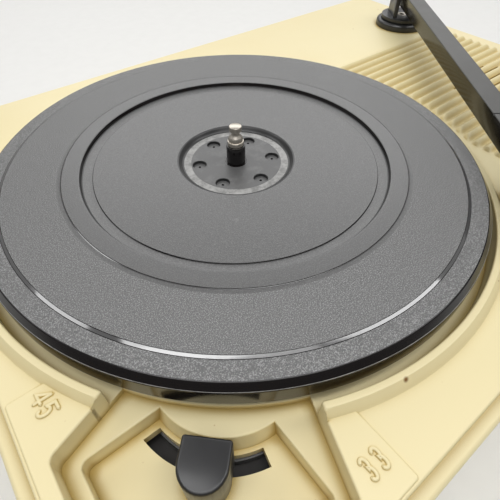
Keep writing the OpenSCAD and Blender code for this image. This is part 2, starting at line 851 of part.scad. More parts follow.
module deck() {
    color(cream) difference() {
        union() {
            difference() {
                union() {
                    deck_shell();
                    rod(spindle, well_r + wall, well_under_z, under_z + eps);
                    prism(grown(recess_outline, wall), recess_under_z, under_z + eps);
                    prism(grown(pocket_outline, wall), pocket_z - deck_t, recess_z);
                    corner_panel();
                    lip();
                }
                deck_cuts();
            }
            ribs();
            at(number_left, deck_z) rotate(-90) linear_extrude(panel_rise + digit_rise) number_45();
            at(number_right, deck_z) linear_extrude(panel_rise + digit_rise) number_33();
            rod(motor, lever_boss_r, lever_boss_bottom_z, well_under_z + eps);
            rod(idler, guide_r, guide_bottom_z, guide_top_z);
            for (p = mount_points)
                rod(p, mount_post_r, motor_plate_z + grommet_flange_t, well_under_z + eps);
            for (p = corners) rod(p, case_post_r, seam_z, ledge_z - eps);
            for (p = speaker_points) rod(p, speaker_post_r, speaker_top_z, under_z + eps);
        }
        sound_slots();
        deck_holes();
    }
}

module feet() {
    color(rubber) for (p = foot_points) at(p) rotate_extrude() polygon([[0, 0], [foot_r - 1.5, 0],
        [foot_r - 0.5, 1], [foot_r, foot_h], [0, foot_h]]);
}

module case_screws() {
    seat_z = floor_z + screw_head_h;
    color(steel) for (p = corners) screw(p, seat_z, 1, seam_z + case_screw_grip - over - seat_z);
}

module panel_screws() {
    color(steel) {
        for (p = speaker_points)
            screw(p, speaker_top_z - speaker_flange_t, 1, speaker_post_h + speaker_flange_t + over);
        for (p = bearing_points)
            screw(p, well_under_z - housing_flange_t, 1, housing_flange_t + deck_t - over);
        for (p = board_points) screw(p, board_z + board_t, -1, board_t + board_post_h - over);
    }
}

// Platter and its bearing

module platter() {
    color(black) difference() {
        at(spindle, ring_z) rotate_extrude() polygon([
            [shaft_r + seat_gap, sleeve_rise], [sleeve_r, sleeve_rise], [sleeve_r, -hub_depth],
            [sleeve_foot_r, -hub_depth], [sleeve_foot_r, -hub_depth - hub_disc_t],
            [hub_disc_r + seat_gap, -hub_depth - hub_disc_t], [hub_disc_r + seat_gap, -hub_depth],
            [hub_floor_r, -hub_depth], [hub_edge_r, -label_depth], [label_floor_r, -label_depth],
            [ring_in_r, 0], [ring_out_r, 0], [ring_out_r + record_drop, -record_drop],
            [record_zone_r, -record_drop], [record_zone_r + rim_slope_w, -rim_drop], [rim_top_r, -rim_drop],
            [platter_r, -rim_drop - bevel_h], [platter_r, -skirt_h], [skirt_in_r, -skirt_h],
            [skirt_in_r, -web_under], [web_step_r, -web_under], [web_step_r - 1, -label_under],
            [hub_edge_r + 2, -label_under], [hub_edge_r, -hub_under], [hub_boss_r, -hub_under],
            [hub_boss_r, -hub_boss_under], [shaft_r + seat_gap, -hub_boss_under]]);
        hub_holes(hub_hole_r, hub_disc_t + hub_hole_depth);
    }
}

module hub_holes(r, depth) {
    for (a = [0 : 60 : 300])
        rod(spindle + hub_hole_circle_r * [cos(a + hub_hole_dir), sin(a + hub_hole_dir)], r,
            ring_z - hub_depth - depth, ring_z - hub_depth + over);
}

module hub_disc() {
    color(dark) difference() {
        tube(spindle, hub_disc_r, sleeve_foot_r + seat_gap,
            ring_z - hub_depth - hub_disc_t, ring_z - hub_depth);
        hub_holes(hub_hole_r, hub_disc_t + over);
    }
}

module spindle_shaft() {
    tip_z = ring_z + sleeve_rise;
    flange_z = tip_collar_h + tip_flange_h;
    color(nickel) {
        rod(spindle, shaft_r, bush_bottom_z + run_gap, tip_z + eps);
        at(spindle, tip_z) rotate_extrude() polygon([[0, 0], [tip_r, 0], [tip_r, tip_collar_h],
            [tip_flange_r, tip_collar_h], [tip_flange_r, flange_z - 0.5], [tip_neck_r, flange_z + 0.3],
            [tip_neck_r, tip_h - tip_head_h], [tip_head_r, tip_h - tip_head_h], [tip_head_r, tip_h - 0.2],
            [tip_head_r - 0.2, tip_h], [0, tip_h]]);
    }
}

module bearing_housing() {
    color([0.6, 0.6, 0.62]) difference() {
        union() {
            rod(spindle, housing_r, bush_bottom_z - pad_t - 2, bush_top_z);
            rod(spindle, housing_flange_r, well_under_z - housing_flange_t, well_under_z);
        }
        rod(spindle, bush_r + seat_gap, bush_bottom_z - pad_t, bush_top_z + over);
        for (p = bearing_points)
            rod(p, screw_r + mould_gap, well_under_z - housing_flange_t - over, well_under_z + over);
    }
}

module bearing_bush() { color(bronze) tube(spindle, bush_r, shaft_r + run_gap, bush_bottom_z, bush_top_z); }

module thrust_pad() { color([0.9, 0.9, 0.86]) rod(spindle, bush_r, bush_bottom_z - pad_t, bush_bottom_z); }

// Motor

module motor_plate() {
    color(steel) difference() {
        rod(motor, motor_plate_r, motor_plate_z - motor_plate_t, motor_plate_z);
        rod(motor, lever_boss_r - 2, motor_plate_z - motor_plate_t - over, motor_plate_z + over);
        for (p = mount_points)
            rod(p, grommet_neck_r + seat_gap, motor_plate_z - motor_plate_t - over, motor_plate_z + over);
        for (p = strap_points)
            rod(p, screw_r + seat_gap, motor_plate_z - motor_plate_t - over, motor_plate_z + over);
    }
}

module motor_grommets() {
    bore_r = screw_r + mould_gap;
    top = motor_plate_t + grommet_flange_t;
    color(rubber) for (p = mount_points) at(p, motor_plate_z - motor_plate_t) rotate_extrude() polygon([
        [bore_r, -grommet_flange_t], [grommet_r, -grommet_flange_t], [grommet_r, 0], [grommet_neck_r, 0],
        [grommet_neck_r, motor_plate_t], [grommet_r, motor_plate_t], [grommet_r, top], [bore_r, top]]);
}

module motor_mount_screws() {
    grommet_h = 2 * grommet_flange_t + motor_plate_t;
    color(steel) for (p = mount_points)
        screw(p, motor_plate_z - motor_plate_t - grommet_flange_t, 1, grommet_h + 6);
}

module motor_stack() {
    color([0.45, 0.46, 0.48]) difference() {
        at(motor - [stack_w / 2, stack_front], stack_bottom_z)
            cube([stack_w, stack_front + stack_back, stack_h]);
        rod(motor, rotor_r + 0.5, stack_bottom_z - over, stack_top_z + over);
        for (sx = [-1, 1])
            block(motor + [sx * (limb_w + window_w) / 2, window_y + window_l / 2], window_w, window_l,
                stack_bottom_z - over, stack_top_z + over);
        for (p = strap_points) rod(p, screw_r + mould_gap, stack_bottom_z - over, stack_top_z + over);
    }
}

module motor_coil() {
    mid = motor + [0, window_y + window_l / 2];
    color([0.75, 0.6, 0.3]) difference() {
        block(mid, limb_w + 2 * coil_wrap, window_l - 2 * coil_end_gap,
            stack_bottom_z - coil_wrap, stack_top_z + coil_wrap);
        block(mid, limb_w + 2 * seat_gap, window_l, stack_bottom_z - seat_gap, stack_top_z + seat_gap);
    }
}

module motor_straps() {
    color(steel) for (z = [upper_strap_z, lower_strap_z]) difference() {
        block(motor, 2 * strap_screw_x + strap_w, strap_w, z, z + strap_t);
        rod(motor, motor_bush_r + seat_gap, z - over, z + strap_t + over);
        for (p = strap_points) rod(p, screw_r + mould_gap, z - over, z + strap_t + over);
    }
}

module motor_bushes() {
    color(bronze) for (z = [upper_strap_z, lower_strap_z])
        tube(motor, motor_bush_r, motor_shaft_r + run_gap, z - 1, z - 1 + motor_bush_h);
}

module motor_spacers() {
    color(steel) for (p = strap_points) {
        tube(p, spacer_r, screw_r + mould_gap, upper_strap_z + strap_t, motor_plate_z - motor_plate_t);
        tube(p, spacer_r, screw_r + mould_gap, stack_top_z, upper_strap_z);
        tube(p, spacer_r, screw_r + mould_gap, lower_strap_z + strap_t, stack_bottom_z);
    }
}

module motor_screws() {
    color(steel) for (p = strap_points) screw(p, lower_strap_z, 1, motor_plate_z - lower_strap_z);
}

module motor_rotor() {
    color([0.55, 0.55, 0.57]) {
        rod(motor, motor_shaft_r, lower_strap_z - 2, pulley_top_z - 1);
        rod(motor, rotor_r, stack_bottom_z + 0.5, stack_top_z - 0.5);
    }
}

module motor_pulley() {
    color([0.8, 0.65, 0.3]) difference() {
        union() {
            rod(motor, pulley_r, pulley_bottom_z, pulley_mid_z);
            rod(motor, pulley_slow_r, pulley_mid_z - eps, pulley_top_z);
        }
        rod(motor, motor_shaft_r + seat_gap, pulley_bottom_z - over, pulley_top_z - 1 + seat_gap);
    }
}

// Idler between the motor pulley and the skirt of the platter

module idler_pin() {
    color(steel) {
        at(idler, idler_pin_z + idler_journal_r) sphere(r = idler_journal_r);
        rod(idler, idler_journal_r, idler_pin_z + idler_journal_r, guide_bottom_z);
        rod(idler, idler_pin_r, guide_bottom_z - eps, idler_hub_z - run_gap);
        rod(idler, idler_journal_r, idler_hub_z - 2 * run_gap,
            idler_hub_z + idler_hub_h + idler_clip_t + idler_pin_tip);
    }
}

module idler_wheel() {
    color([0.85, 0.85, 0.82]) difference() {
        union() {
            rod(idler, idler_hub_r, idler_hub_z, idler_hub_z + idler_hub_h);
            rod(idler, idler_r - idler_rim_w,
                pulley_mid_z - idler_web_t / 2, pulley_mid_z + idler_web_t / 2);
        }
        rod(idler, idler_journal_r + run_gap, idler_hub_z - over, idler_hub_z + idler_hub_h + over);
        rod(idler, idler_clip_r + 0.5, idler_hub_z + idler_hub_h, pulley_mid_z + tyre_t);
    }
}

module idler_tyre() {
    color(rubber) difference() {
        tube(idler, idler_r, idler_r - 2 * idler_rim_w,
            pulley_mid_z - tyre_t / 2, pulley_mid_z + tyre_t / 2);
        rod(idler, idler_r - idler_rim_w + seat_gap,
            pulley_mid_z - idler_web_t / 2 - seat_gap, pulley_mid_z + idler_web_t / 2 + seat_gap);
    }
}

module idler_clip() {
    z = idler_hub_z + idler_hub_h + run_gap;
    color(steel) tube(idler, idler_clip_r, idler_journal_r + seat_gap, z, z + idler_clip_t);
}

// Speed lever, whose ramp lifts the idler from one pulley step to the other

module speed_lever() {
    color(dark) {
        difference() {
            union() {
                rod(motor, lever_ring_r, lever_z, lever_z + lever_t);
                on_motor(lever_dir) at([0, -lever_w / 2], lever_z)
                    cube([slot_mid_r + stalk_t / 2, lever_w, lever_t]);
            }
            rod(motor, lever_boss_r + run_gap, lever_z - over, lever_z + lever_t + over);
        }
        on_motor(lever_dir) at([slot_mid_r - stalk_t / 2, -lever_w / 2], lever_z)
            cube([stalk_t, lever_w, knob_z + stalk_grip - lever_z]);
        on_motor(idler_dir) translate([lever_ring_r, 0, lever_z + lever_t - eps]) rotate([90, 0, -90])
            linear_extrude(ramp_w) polygon([[-ramp_half_l, 0], [ramp_half_l, 0],
                [ramp_half_l, ramp_mid_h + ramp_half_l * ramp_slope],
                [-ramp_half_l, ramp_mid_h - ramp_half_l * ramp_slope]]);
    }
}

module lever_knob() {
    color(black) on_motor(lever_dir) difference() {
        union() {
            translate([knob_mid_r, 0, knob_z]) cylinder(r = knob_r, h = knob_top_z - knob_z);
            translate([slot_mid_r - stalk_t / 2 - knob_wall, -knob_r, knob_z])
                cube([knob_r, 2 * knob_r, knob_top_z - knob_z]);
        }
        translate([slot_mid_r - stalk_t / 2 - seat_gap, -lever_w / 2 - seat_gap, knob_z - over])
            cube([stalk_t + 2 * seat_gap, lever_w + 2 * seat_gap, stalk_grip + over + seat_gap]);
    }
}

module lever_washer() {
    color([0.9, 0.9, 0.86]) tube(motor, lever_boss_r + 6, lever_boss_r + mould_gap,
        motor_plate_z, motor_plate_z + lever_washer_t);
}

// Speaker

module speaker_frame() {
    flange_in_r = speaker_r - speaker_flange_w;
    flange_z = speaker_top_z - speaker_flange_t;
    basket_z = speaker_top_z - basket_h;
    color(steel) difference() {
        union() {
            at(speaker) rotate_extrude() polygon([[flange_in_r, speaker_top_z], [speaker_r, speaker_top_z],
                [speaker_r, flange_z], [flange_in_r + basket_t, flange_z],
                [basket_r + basket_t, basket_z], [cone_neck_r + 2, basket_z],
                [cone_neck_r + 2, basket_z + basket_t], [basket_r, basket_z + basket_t],
                [flange_in_r, flange_z]]);
            for (p = speaker_points) rod(p, speaker_ear_r, flange_z, speaker_top_z);
        }
        for (p = speaker_points) rod(p, screw_r + mould_gap, flange_z - over, speaker_top_z + over);
    }
}

module speaker_cone() {
    rim_r = speaker_r - speaker_flange_w - cone_gap;
    rim_z = speaker_top_z - speaker_flange_t - 0.5;
    neck_z = speaker_top_z - basket_h + basket_t + 2;
    color([0.16, 0.15, 0.14]) at(speaker) rotate_extrude() polygon([[0, neck_z], [cone_neck_r, neck_z],
        [rim_r - 4, rim_z], [rim_r, rim_z], [rim_r, rim_z + cone_t], [rim_r - 4, rim_z + cone_t],
        [cone_neck_r, neck_z + cone_t], [cone_neck_r - 2, neck_z + 3], [0, neck_z + 4]]);
}

module speaker_magnet() {
    z = speaker_top_z - basket_h;
    color([0.3, 0.3, 0.32]) {
        rod(speaker, magnet_r, z - magnet_h, z);
        rod(speaker, cone_neck_r - 1, z - eps, z + basket_t + 2);
    }
}

// Pick-up arm

module arm_base() {
    color(black) difference() {
        union() {
            at(pivot, deck_z) rotate_extrude() polygon([[0, 0], [base_r, 0], [base_r, base_h - 1],
                [base_r - 1, base_h], [0, base_h]]);
            rod(pivot, stem_r, stem_bottom_z, deck_z + eps);
        }
        rod(pivot, swing_shaft_r + run_gap, stem_bottom_z - over, deck_z + base_h + over);
    }
}

module arm_base_nut() {
    color(steel) difference() {
        at(pivot, under_z - base_nut_t) cylinder(r = base_nut_r, h = base_nut_t, $fn = 6);
        rod(pivot, stem_r + seat_gap, under_z - base_nut_t - over, under_z + over);
    }
}

module arm_yoke() {
    color(black) on_arm() difference() {
        union() {
            translate([0, 0, yoke_z]) cylinder(r = yoke_r, h = yoke_t);
            for (side = [-1, 1]) block([0, side * (arm_w / 2 + ear_gap + ear_t / 2)], 2 * ear_half_l, ear_t,
                yoke_z + yoke_t - eps, ear_top_z);
        }
        translate([0, 0, pin_z]) rotate([90, 0, 0])
            cylinder(r = pin_r + seat_gap, h = 2 * arm_w + 4 * ear_t, center = true);
        translate([0, 0, yoke_z - over]) cylinder(r = swing_shaft_r + seat_gap, h = yoke_t + 2 * over);
    }
}

module swing_shaft() {
    color(steel) tube(pivot, swing_shaft_r, wire_bore_r, stem_bottom_z - 4 * clip_t, yoke_z + yoke_t);
}

module swing_clip() {
    z = stem_bottom_z - run_gap - clip_t;
    color(steel) tube(pivot, clip_r, swing_shaft_r + seat_gap, z, z + clip_t);
}

module arm_pin() {
    l = arm_w + 2 * (ear_gap + ear_t) + 0.6;
    color(steel) on_arm() translate([0, 0, pin_z]) rotate([90, 0, 0])
        cylinder(r = pin_r, h = l, center = true);
}

module arm_tube() {
    inner_w = arm_w - 2 * arm_wall;
    color(black) on_arm() difference() {
        translate([-arm_tail, -arm_w / 2, arm_z]) cube([arm_tail + head_start - head_gap, arm_w, arm_h]);
        translate([-arm_tail + arm_wall, -inner_w / 2, arm_z - over])
            cube([arm_tail + head_start, inner_w, arm_h - arm_wall + over]);
        translate([0, 0, pin_z]) rotate([90, 0, 0])
            cylinder(r = pin_r + run_gap, h = 2 * arm_w, center = true);
        translate([groove_at, -arm_w, arm_top_z - groove]) cube([groove, 2 * arm_w, over]);
    }
}

module counterweight() {
    w = arm_w - 2 * arm_wall - 2 * seat_gap;
    color(steel) on_arm() translate([-arm_tail + arm_wall + seat_gap, -w / 2, arm_z])
        cube([arm_tail - arm_wall - pin_r - 1, w, arm_h - arm_wall - seat_gap]);
}

module head_shell() {
    tongue_w = arm_w - 2 * arm_wall - 2 * seat_gap;
    tongue_h = 5;
    color(black) on_arm() {
        difference() {
            prism(head_plan, head_z, arm_top_z);
            prism(head_room, head_z - over, arm_top_z - arm_wall);
        }
        translate([head_start - tongue_l, -tongue_w / 2, arm_top_z - arm_wall - seat_gap - tongue_h])
            cube([tongue_l + over, tongue_w, tongue_h]);
        translate([head_end - head_nose - lift_tab_l, head_w / 2 - eps, head_z + 1])
            cube([lift_tab_l, lift_tab_w, lift_tab_t]);
    }
}

module cartridge() {
    color([0.85, 0.82, 0.75]) on_arm()
        translate([arm_len - cart_l + 4, -cart_w / 2, arm_top_z - arm_wall - seat_gap - cart_h])
            cube([cart_l, cart_w, cart_h]);
}

module needle() {
    bar_z = arm_top_z - arm_wall - seat_gap - cart_h;
    color([0.75, 0.3, 0.2]) on_arm() {
        translate([arm_len - cantilever_l, -needle_r, bar_z - 2 * needle_r])
            cube([cantilever_l + needle_r, 2 * needle_r, 2 * needle_r]);
        translate([arm_len, 0, ring_z + needle_clear])
            cylinder(r1 = 0.15, r2 = needle_r, h = bar_z - needle_r - ring_z - needle_clear);
    }
}

module arm_rest() {
    color(black) at(rest_point) rotate(arm_dir) {
        translate([0, 0, under_z]) cylinder(r = rest_spigot_r, h = deck_t + eps);
        translate([0, 0, deck_z]) cylinder(r = rest_post_r, h = rest_top_z - rest_t - deck_z + eps);
        translate([-rest_l / 2, -rest_w / 2, rest_top_z - rest_t]) cube([rest_l, rest_w, rest_t]);
    }
}

// Dials

module dial(p) {
    color(black) difference() {
        at(p, dial_z) rotate_extrude() polygon([[0, 0], [dial_r, 0], [dial_r, dial_h - 1.2],
            [dial_r - 1.2, dial_h], [0, dial_h]]);
        for (i = [0 : dial_flutes - 1])
            rod(p + dial_r * [cos(i * 360 / dial_flutes), sin(i * 360 / dial_flutes)], dial_flute_r,
                dial_z - over, dial_z + dial_h - 3);
        rod(p, dial_cavity_r, dial_z - over, dial_z + dial_cavity_h);
        rod(p, dial_shaft_r + seat_gap, dial_z - over, dial_z + dial_h - dial_top_t);
    }
}

module dial_shaft(p) {
    color(steel) rod(p, dial_shaft_r, pot_shaft_z, dial_z + dial_h - dial_top_t - run_gap);
}

module pot(p) {
    color([0.5, 0.5, 0.52]) difference() {
        union() {
            rod(p, pot_r, under_z - pot_h, under_z);
            rod(p, pot_bush_r, under_z - eps, under_z + pot_bush_h);
        }
        rod(p, dial_shaft_r + run_gap, pot_shaft_z - run_gap, under_z + pot_bush_h + over);
    }
}

module volume_dial() { dial(dials[0]); }
module volume_shaft() { dial_shaft(dials[0]); }
module volume_pot() { pot(dials[0]); }
module tone_dial() { dial(dials[1]); }
module tone_shaft() { dial_shaft(dials[1]); }
module tone_pot() { pot(dials[1]); }

module pot_nuts() {
    color(steel) for (p = dials) difference() {
        at(p, deck_z) cylinder(r = pot_nut_r, h = pot_nut_t, $fn = 6);
        rod(p, pot_bush_r + seat_gap, deck_z - over, deck_z + pot_nut_t + over);
    }
}

// Electrics

module amp_board() {
    color([0.55, 0.42, 0.2]) difference() {
        block(board, board_w, board_d, board_z, board_z + board_t);
        for (p = board_points) rod(p, screw_r + mould_gap, board_z - over, board_z + board_t + over);
    }
}

module amp_capacitors() {
    z = board_z + board_t;
    color([0.2, 0.3, 0.5]) for (i = [-1 : 1])
        rod(board + [i * cap_pitch - board_w / 6, board_d / 4], cap_r, z, z + cap_h);
}

module amp_heatsink() {
    p = board + [board_w / 4, -board_d / 8];
    z = board_z + board_t;
    color([0.7, 0.7, 0.72]) {
        block(p, fin_l, fin_pitch * (fin_count - 1) + fin_t, z, z + 2 * fin_t);
        for (i = [0 : fin_count - 1])
            block(p + [0, (i - (fin_count - 1) / 2) * fin_pitch], fin_l, fin_t, z, z + fin_h);
    }
}

module transformer_core() {
    core_window_w = core_w / 2 - 1.5 * core_leg_w;
    color([0.4, 0.4, 0.42]) difference() {
        union() {
            block(core, core_w, core_d, floor_z, floor_z + core_h);
            block(core, core_w + 2 * core_foot_w, core_d, floor_z, floor_z + core_foot_t);
        }
        for (sx = [-1, 1])
            block(core + [sx * (core_leg_w + core_window_w) / 2, 0], core_window_w, core_d + 2 * over,
                floor_z + (core_h - core_window_h) / 2, floor_z + (core_h + core_window_h) / 2);
    }
}

module transformer_coil() {
    w = core_w - 2 * core_leg_w - 2 * seat_gap;
    z0 = floor_z + (core_h - core_window_h) / 2 + seat_gap;
    color([0.8, 0.7, 0.4]) difference() {
        block(core, w, core_d + 2 * core_coil_wrap, z0, z0 + core_window_h - 2 * seat_gap);
        block(core, core_leg_w + 2 * seat_gap, core_d + 2 * seat_gap, z0 - over, z0 + core_window_h + over);
    }
}

module mains_inlet() {
    flange_y = back_y - wall - inlet_flange_t;
    color(black) difference() {
        union() {
            block([inlet_x, back_y - inlet_depth / 2], inlet_w, inlet_depth,
                inlet_z - inlet_h / 2, inlet_z + inlet_h / 2);
            block([inlet_x, flange_y + inlet_flange_t / 2], inlet_w + 2 * inlet_flange_w, inlet_flange_t,
                inlet_z - inlet_h / 2 - 2, inlet_z + inlet_h / 2 + 2);
        }
        block([inlet_x, back_y - inlet_depth / 2 + inlet_back_t], inlet_socket_w, inlet_depth,
            inlet_z - inlet_socket_h / 2, inlet_z + inlet_socket_h / 2);
        for (sx = [-1, 1]) inlet_pin_at(sx, inlet_pin_r + seat_gap);
    }
}

module inlet_pin_at(sx, r) {
    translate([inlet_x + sx * inlet_pin_pitch / 2, back_y - inlet_pin_sunk, inlet_z]) rotate([90, 0, 0])
        cylinder(r = r, h = inlet_depth - 1);
}

module inlet_pins() { color(bronze) for (sx = [-1, 1]) inlet_pin_at(sx, inlet_pin_r); }

lower_case();
deck();
feet();
case_screws();
panel_screws();
platter();
hub_disc();
spindle_shaft();
bearing_housing();
bearing_bush();
thrust_pad();
motor_plate();
motor_grommets();
motor_mount_screws();
motor_stack();
motor_coil();
motor_straps();
motor_bushes();
motor_spacers();
motor_screws();
motor_rotor();
motor_pulley();
idler_pin();
idler_wheel();
idler_tyre();
idler_clip();
speed_lever();
lever_knob();
lever_washer();
speaker_frame();
speaker_cone();
speaker_magnet();
arm_base();
arm_base_nut();
arm_yoke();
swing_shaft();
swing_clip();
arm_pin();
arm_tube();
counterweight();
head_shell();
cartridge();
needle();
arm_rest();
volume_dial();
volume_shaft();
volume_pot();
tone_dial();
tone_shaft();
tone_pot();
pot_nuts();
amp_board();
amp_capacitors();
amp_heatsink();
transformer_core();
transformer_coil();
mains_inlet();
inlet_pins();
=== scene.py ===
"""Looks of a portable record player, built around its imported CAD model.

Lengths are in millimetres until a vertex is made, and MM turns them into metres.
"""

import json
import math

import bmesh
import bpy
from mathutils import Matrix, Vector


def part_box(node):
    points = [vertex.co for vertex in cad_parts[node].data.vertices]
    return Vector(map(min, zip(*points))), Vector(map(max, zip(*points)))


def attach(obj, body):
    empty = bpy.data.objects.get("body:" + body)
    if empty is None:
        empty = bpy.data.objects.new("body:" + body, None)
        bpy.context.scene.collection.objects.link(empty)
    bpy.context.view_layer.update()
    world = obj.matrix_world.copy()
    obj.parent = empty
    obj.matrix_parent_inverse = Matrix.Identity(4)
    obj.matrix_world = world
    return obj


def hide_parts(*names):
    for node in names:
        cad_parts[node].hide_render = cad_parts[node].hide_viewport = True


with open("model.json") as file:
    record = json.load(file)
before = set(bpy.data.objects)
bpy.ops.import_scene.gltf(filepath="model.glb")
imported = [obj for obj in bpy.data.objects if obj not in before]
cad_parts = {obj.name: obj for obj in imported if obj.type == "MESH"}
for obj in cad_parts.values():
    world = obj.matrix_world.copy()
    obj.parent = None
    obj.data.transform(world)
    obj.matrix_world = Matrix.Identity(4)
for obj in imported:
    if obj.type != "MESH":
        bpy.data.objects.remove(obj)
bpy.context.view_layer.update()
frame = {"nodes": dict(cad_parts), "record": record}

MM = 0.001


def box_mm(node):
    """Lowest and highest corner of a CAD node, in millimetres."""
    low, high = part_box(node)
    return low / MM, high / MM


# Levels and places, taken from the frame
PLATTER_LOW, PLATTER_HIGH = box_mm("platter")
CASE_LOW, CASE_HIGH = box_mm("deck")
SPINDLE = Vector(((PLATTER_LOW.x + PLATTER_HIGH.x) / 2, (PLATTER_LOW.y + PLATTER_HIGH.y) / 2))
PLATTER_R = (PLATTER_HIGH.x - PLATTER_LOW.x) / 2
PULLEY_LOW, PULLEY_HIGH = box_mm("motor_pulley")
MOTOR = Vector(((PULLEY_LOW.x + PULLEY_HIGH.x) / 2, (PULLEY_LOW.y + PULLEY_HIGH.y) / 2))
LIP_Z = CASE_HIGH.z

# Case
LIP_RISE = 2.65
DECK_Z = LIP_Z - LIP_RISE
LEDGE_W = 4
LEDGE_Z = DECK_Z - 2.3
SEAM_Z = DECK_Z - 18
CASE_CORNER_R = 12
CASE_EDGE_R = 1.4
CASE_WALL = 3
SEAM_CHAMFER = 0.3
LEDGE_FILLET = 0.5
LEDGE_FILLET_MIDDLE = 0.12
STEP_EDGE_R = 0.7

# Well and its lip
WELL_R = PLATTER_R + 2.9
LIP_R = WELL_R + 2.15
LIP_FOOT_R = LIP_R + 2
WELL_Z = DECK_Z - 5.25
WELL_FLOOR_W = 6
WELL_STEPS = 240
LIP_EDGE_R = 0.7
LIP_OVERLAP = 0.4

# Corner recess, whose floor lies a step below the well
RECESS_LEFT_AT = 212.8
RECESS_LEFT_DIR = 200.3
RECESS_RIGHT_AT = 245.5
RECESS_RIGHT_DIR = 249
RECESS_INSET = 5
RECESS_X = CASE_LOW.x + LEDGE_W + RECESS_INSET
RECESS_Y = CASE_LOW.y + LEDGE_W + RECESS_INSET
RECESS_CHAMFER = 22
RECESS_Z = WELL_Z - 2.25
RECESS_RADII = [1.2, 2.5, 3, 3, 2.5, 1.2]
RECESS_JOINT = 2
RECESS_OVERLAP = 1
STEP_R = PLATTER_R - 1.55
FLOOR_STEP_EDGE_R = 0.4

# Walls and floors run on this far behind what hides their ends
SUNK = 0.5

# Raised panel around the recess
PANEL_RISE = 0.35
PANEL_BACK_Y = SPINDLE.y - 38.7
PANEL_RIGHT_X = SPINDLE.x - 33.2
PANEL_INSET = 0.8
PANEL_WELL_R = LIP_R + 0.8
PANEL_EDGE_R = 0.6
PANEL_CORNER_R = 1
PANEL_END_R = 0.6
PANEL_END_TURN = 1

# Lever pocket in the recess
POCKET_Z = RECESS_Z - 6.5
POCKET_INSET = 4
POCKET_X = RECESS_X + POCKET_INSET
POCKET_Y = RECESS_Y + POCKET_INSET
POCKET_CHAMFER = RECESS_CHAMFER - POCKET_INSET * (2 - math.sqrt(2))
POCKET_SIDE = 1.3
POCKET_HALF_TURN = 45
POCKET_RADII = [2, 3, 3, 2]
POCKET_EDGE_R = 0.5
HUMP_R = 22.7
HUMP_FOOT_R = HUMP_R + 1.2
HUMP_STEPS = 20
LEVER_DIR = 225
LEVER_SLOT_IN_R = HUMP_FOOT_R + 1.2
LEVER_SLOT_W = 5
LEVER_SLOT_TURN = 30.7
LEVER_SLOT_MARGIN = 2

# Grille
RIB_PITCH = 5.27
RIBS_FRONT = 11
RIBS_BACK = 7
RIB_RISE = 2.1
RIB_HALF_W = RIB_PITCH / 2
RIB_STEPS = 5
RIB_COLUMNS = 120
RIB_START_R = LIP_FOOT_R + 3.5
RIB_START_X = SPINDLE.x + PLATTER_R
RIB_END_X = CASE_HIGH.x - LEDGE_W - 10
RIB_END_ROUND = 2.6
SPEAKER_LOW, SPEAKER_HIGH = box_mm("speaker_cone")
SPEAKER = Vector(((SPEAKER_LOW.x + SPEAKER_HIGH.x) / 2, (SPEAKER_LOW.y + SPEAKER_HIGH.y) / 2))
GRILLE_R = (SPEAKER_HIGH.x - SPEAKER_LOW.x) / 2 - 0.5
SOUND_SLOT_W = 0.8

# Platter, whose sleeve stands above its raised ring
SLEEVE_RISE = 4
RING_Z = PLATTER_HIGH.z - SLEEVE_RISE


# Plan geometry

# A rounded corner takes at most this share of each of its sides
CORNER_SHARE = 0.48
MITRE_LIMIT = 0.3


def polar(centre, r, deg):
    return centre + Vector((r * math.cos(math.radians(deg)), r * math.sin(math.radians(deg))))


def arc(centre, r, start, end, step=1.5):
    count = max(2, math.ceil(abs(end - start) / step))
    return [polar(centre, r, start + (end - start) * i / count) for i in range(count + 1)]


def circle(centre, r, count):
    return [polar(centre, r, 360 * i / count) for i in range(count)]


def meet(p, u, q, v):
    """Point where the line through p along u meets the line through q along v."""
    d = q - p
    return p + u * ((d.x * v.y - d.y * v.x) / (u.x * v.y - u.y * v.x))


def on_circle(p, u, centre, r):
    """Point where the line through p along u leaves the circle."""
    d = p - centre
    b = d.dot(u)
    return p + u * (-b + math.sqrt(b * b - d.length_squared + r * r))


def angle_of(p, centre):
    return math.degrees(math.atan2(p.y - centre.y, p.x - centre.x)) % 360


def rounded(points, radii, steps=6):
    """A closed outline whose corners are arcs of the given radii; a radius of 0 keeps the point."""
    result = []
    for i, p in enumerate(points):
        r = radii[i]
        if r == 0:
            result.append(p)
            continue
        a = points[i - 1] - p
        b = points[(i + 1) % len(points)] - p
        half = a.angle(b) / 2
        reach = min(r / math.tan(half), CORNER_SHARE * a.length, CORNER_SHARE * b.length)
        r = reach * math.tan(half)
        a.normalize()
        b.normalize()
        centre = p + (a + b).normalized() * (r / math.sin(half))
        start = math.atan2(*reversed(p + a * reach - centre))
        sweep = math.atan2(*reversed(p + b * reach - centre)) - start
        sweep = (sweep + math.pi) % (2 * math.pi) - math.pi
        for k in range(steps + 1):
            t = start + sweep * k / steps
            result.append(centre + r * Vector((math.cos(t), math.sin(t))))
    return result


def offset(loop, d):
    """A dense anticlockwise outline moved outwards by d."""
    result = []
    for i, p in enumerate(loop):
        u = (p - loop[i - 1]).normalized()
        v = (loop[(i + 1) % len(loop)] - p).normalized()
        nu = Vector((u.y, -u.x))
        nv = Vector((v.y, -v.x))
        m = (nu + nv).normalized()
        result.append(p + m * (d / max(MITRE_LIMIT, m.dot(nv))))
    return result


def rounded_box(inset):
    """Plan of the case, moved inwards."""
    x = CASE_HIGH.x - inset
    y = CASE_HIGH.y - inset
    corners = [Vector(c) for c in ((x, -y), (x, y), (-x, y), (-x, -y))]
    return rounded(corners, [CASE_CORNER_R - inset] * 4, steps=16)


def round_over(z, r, side, steps=4):
    """Profile of a convex edge from the wall up to the flat at z; side -1 turns inwards."""
    turns = [math.pi / 2 * k / steps for k in range(steps + 1)]
    return [(side * r * (1 - math.cos(t)), z - r + r * math.sin(t)) for t in turns]


# Meshes

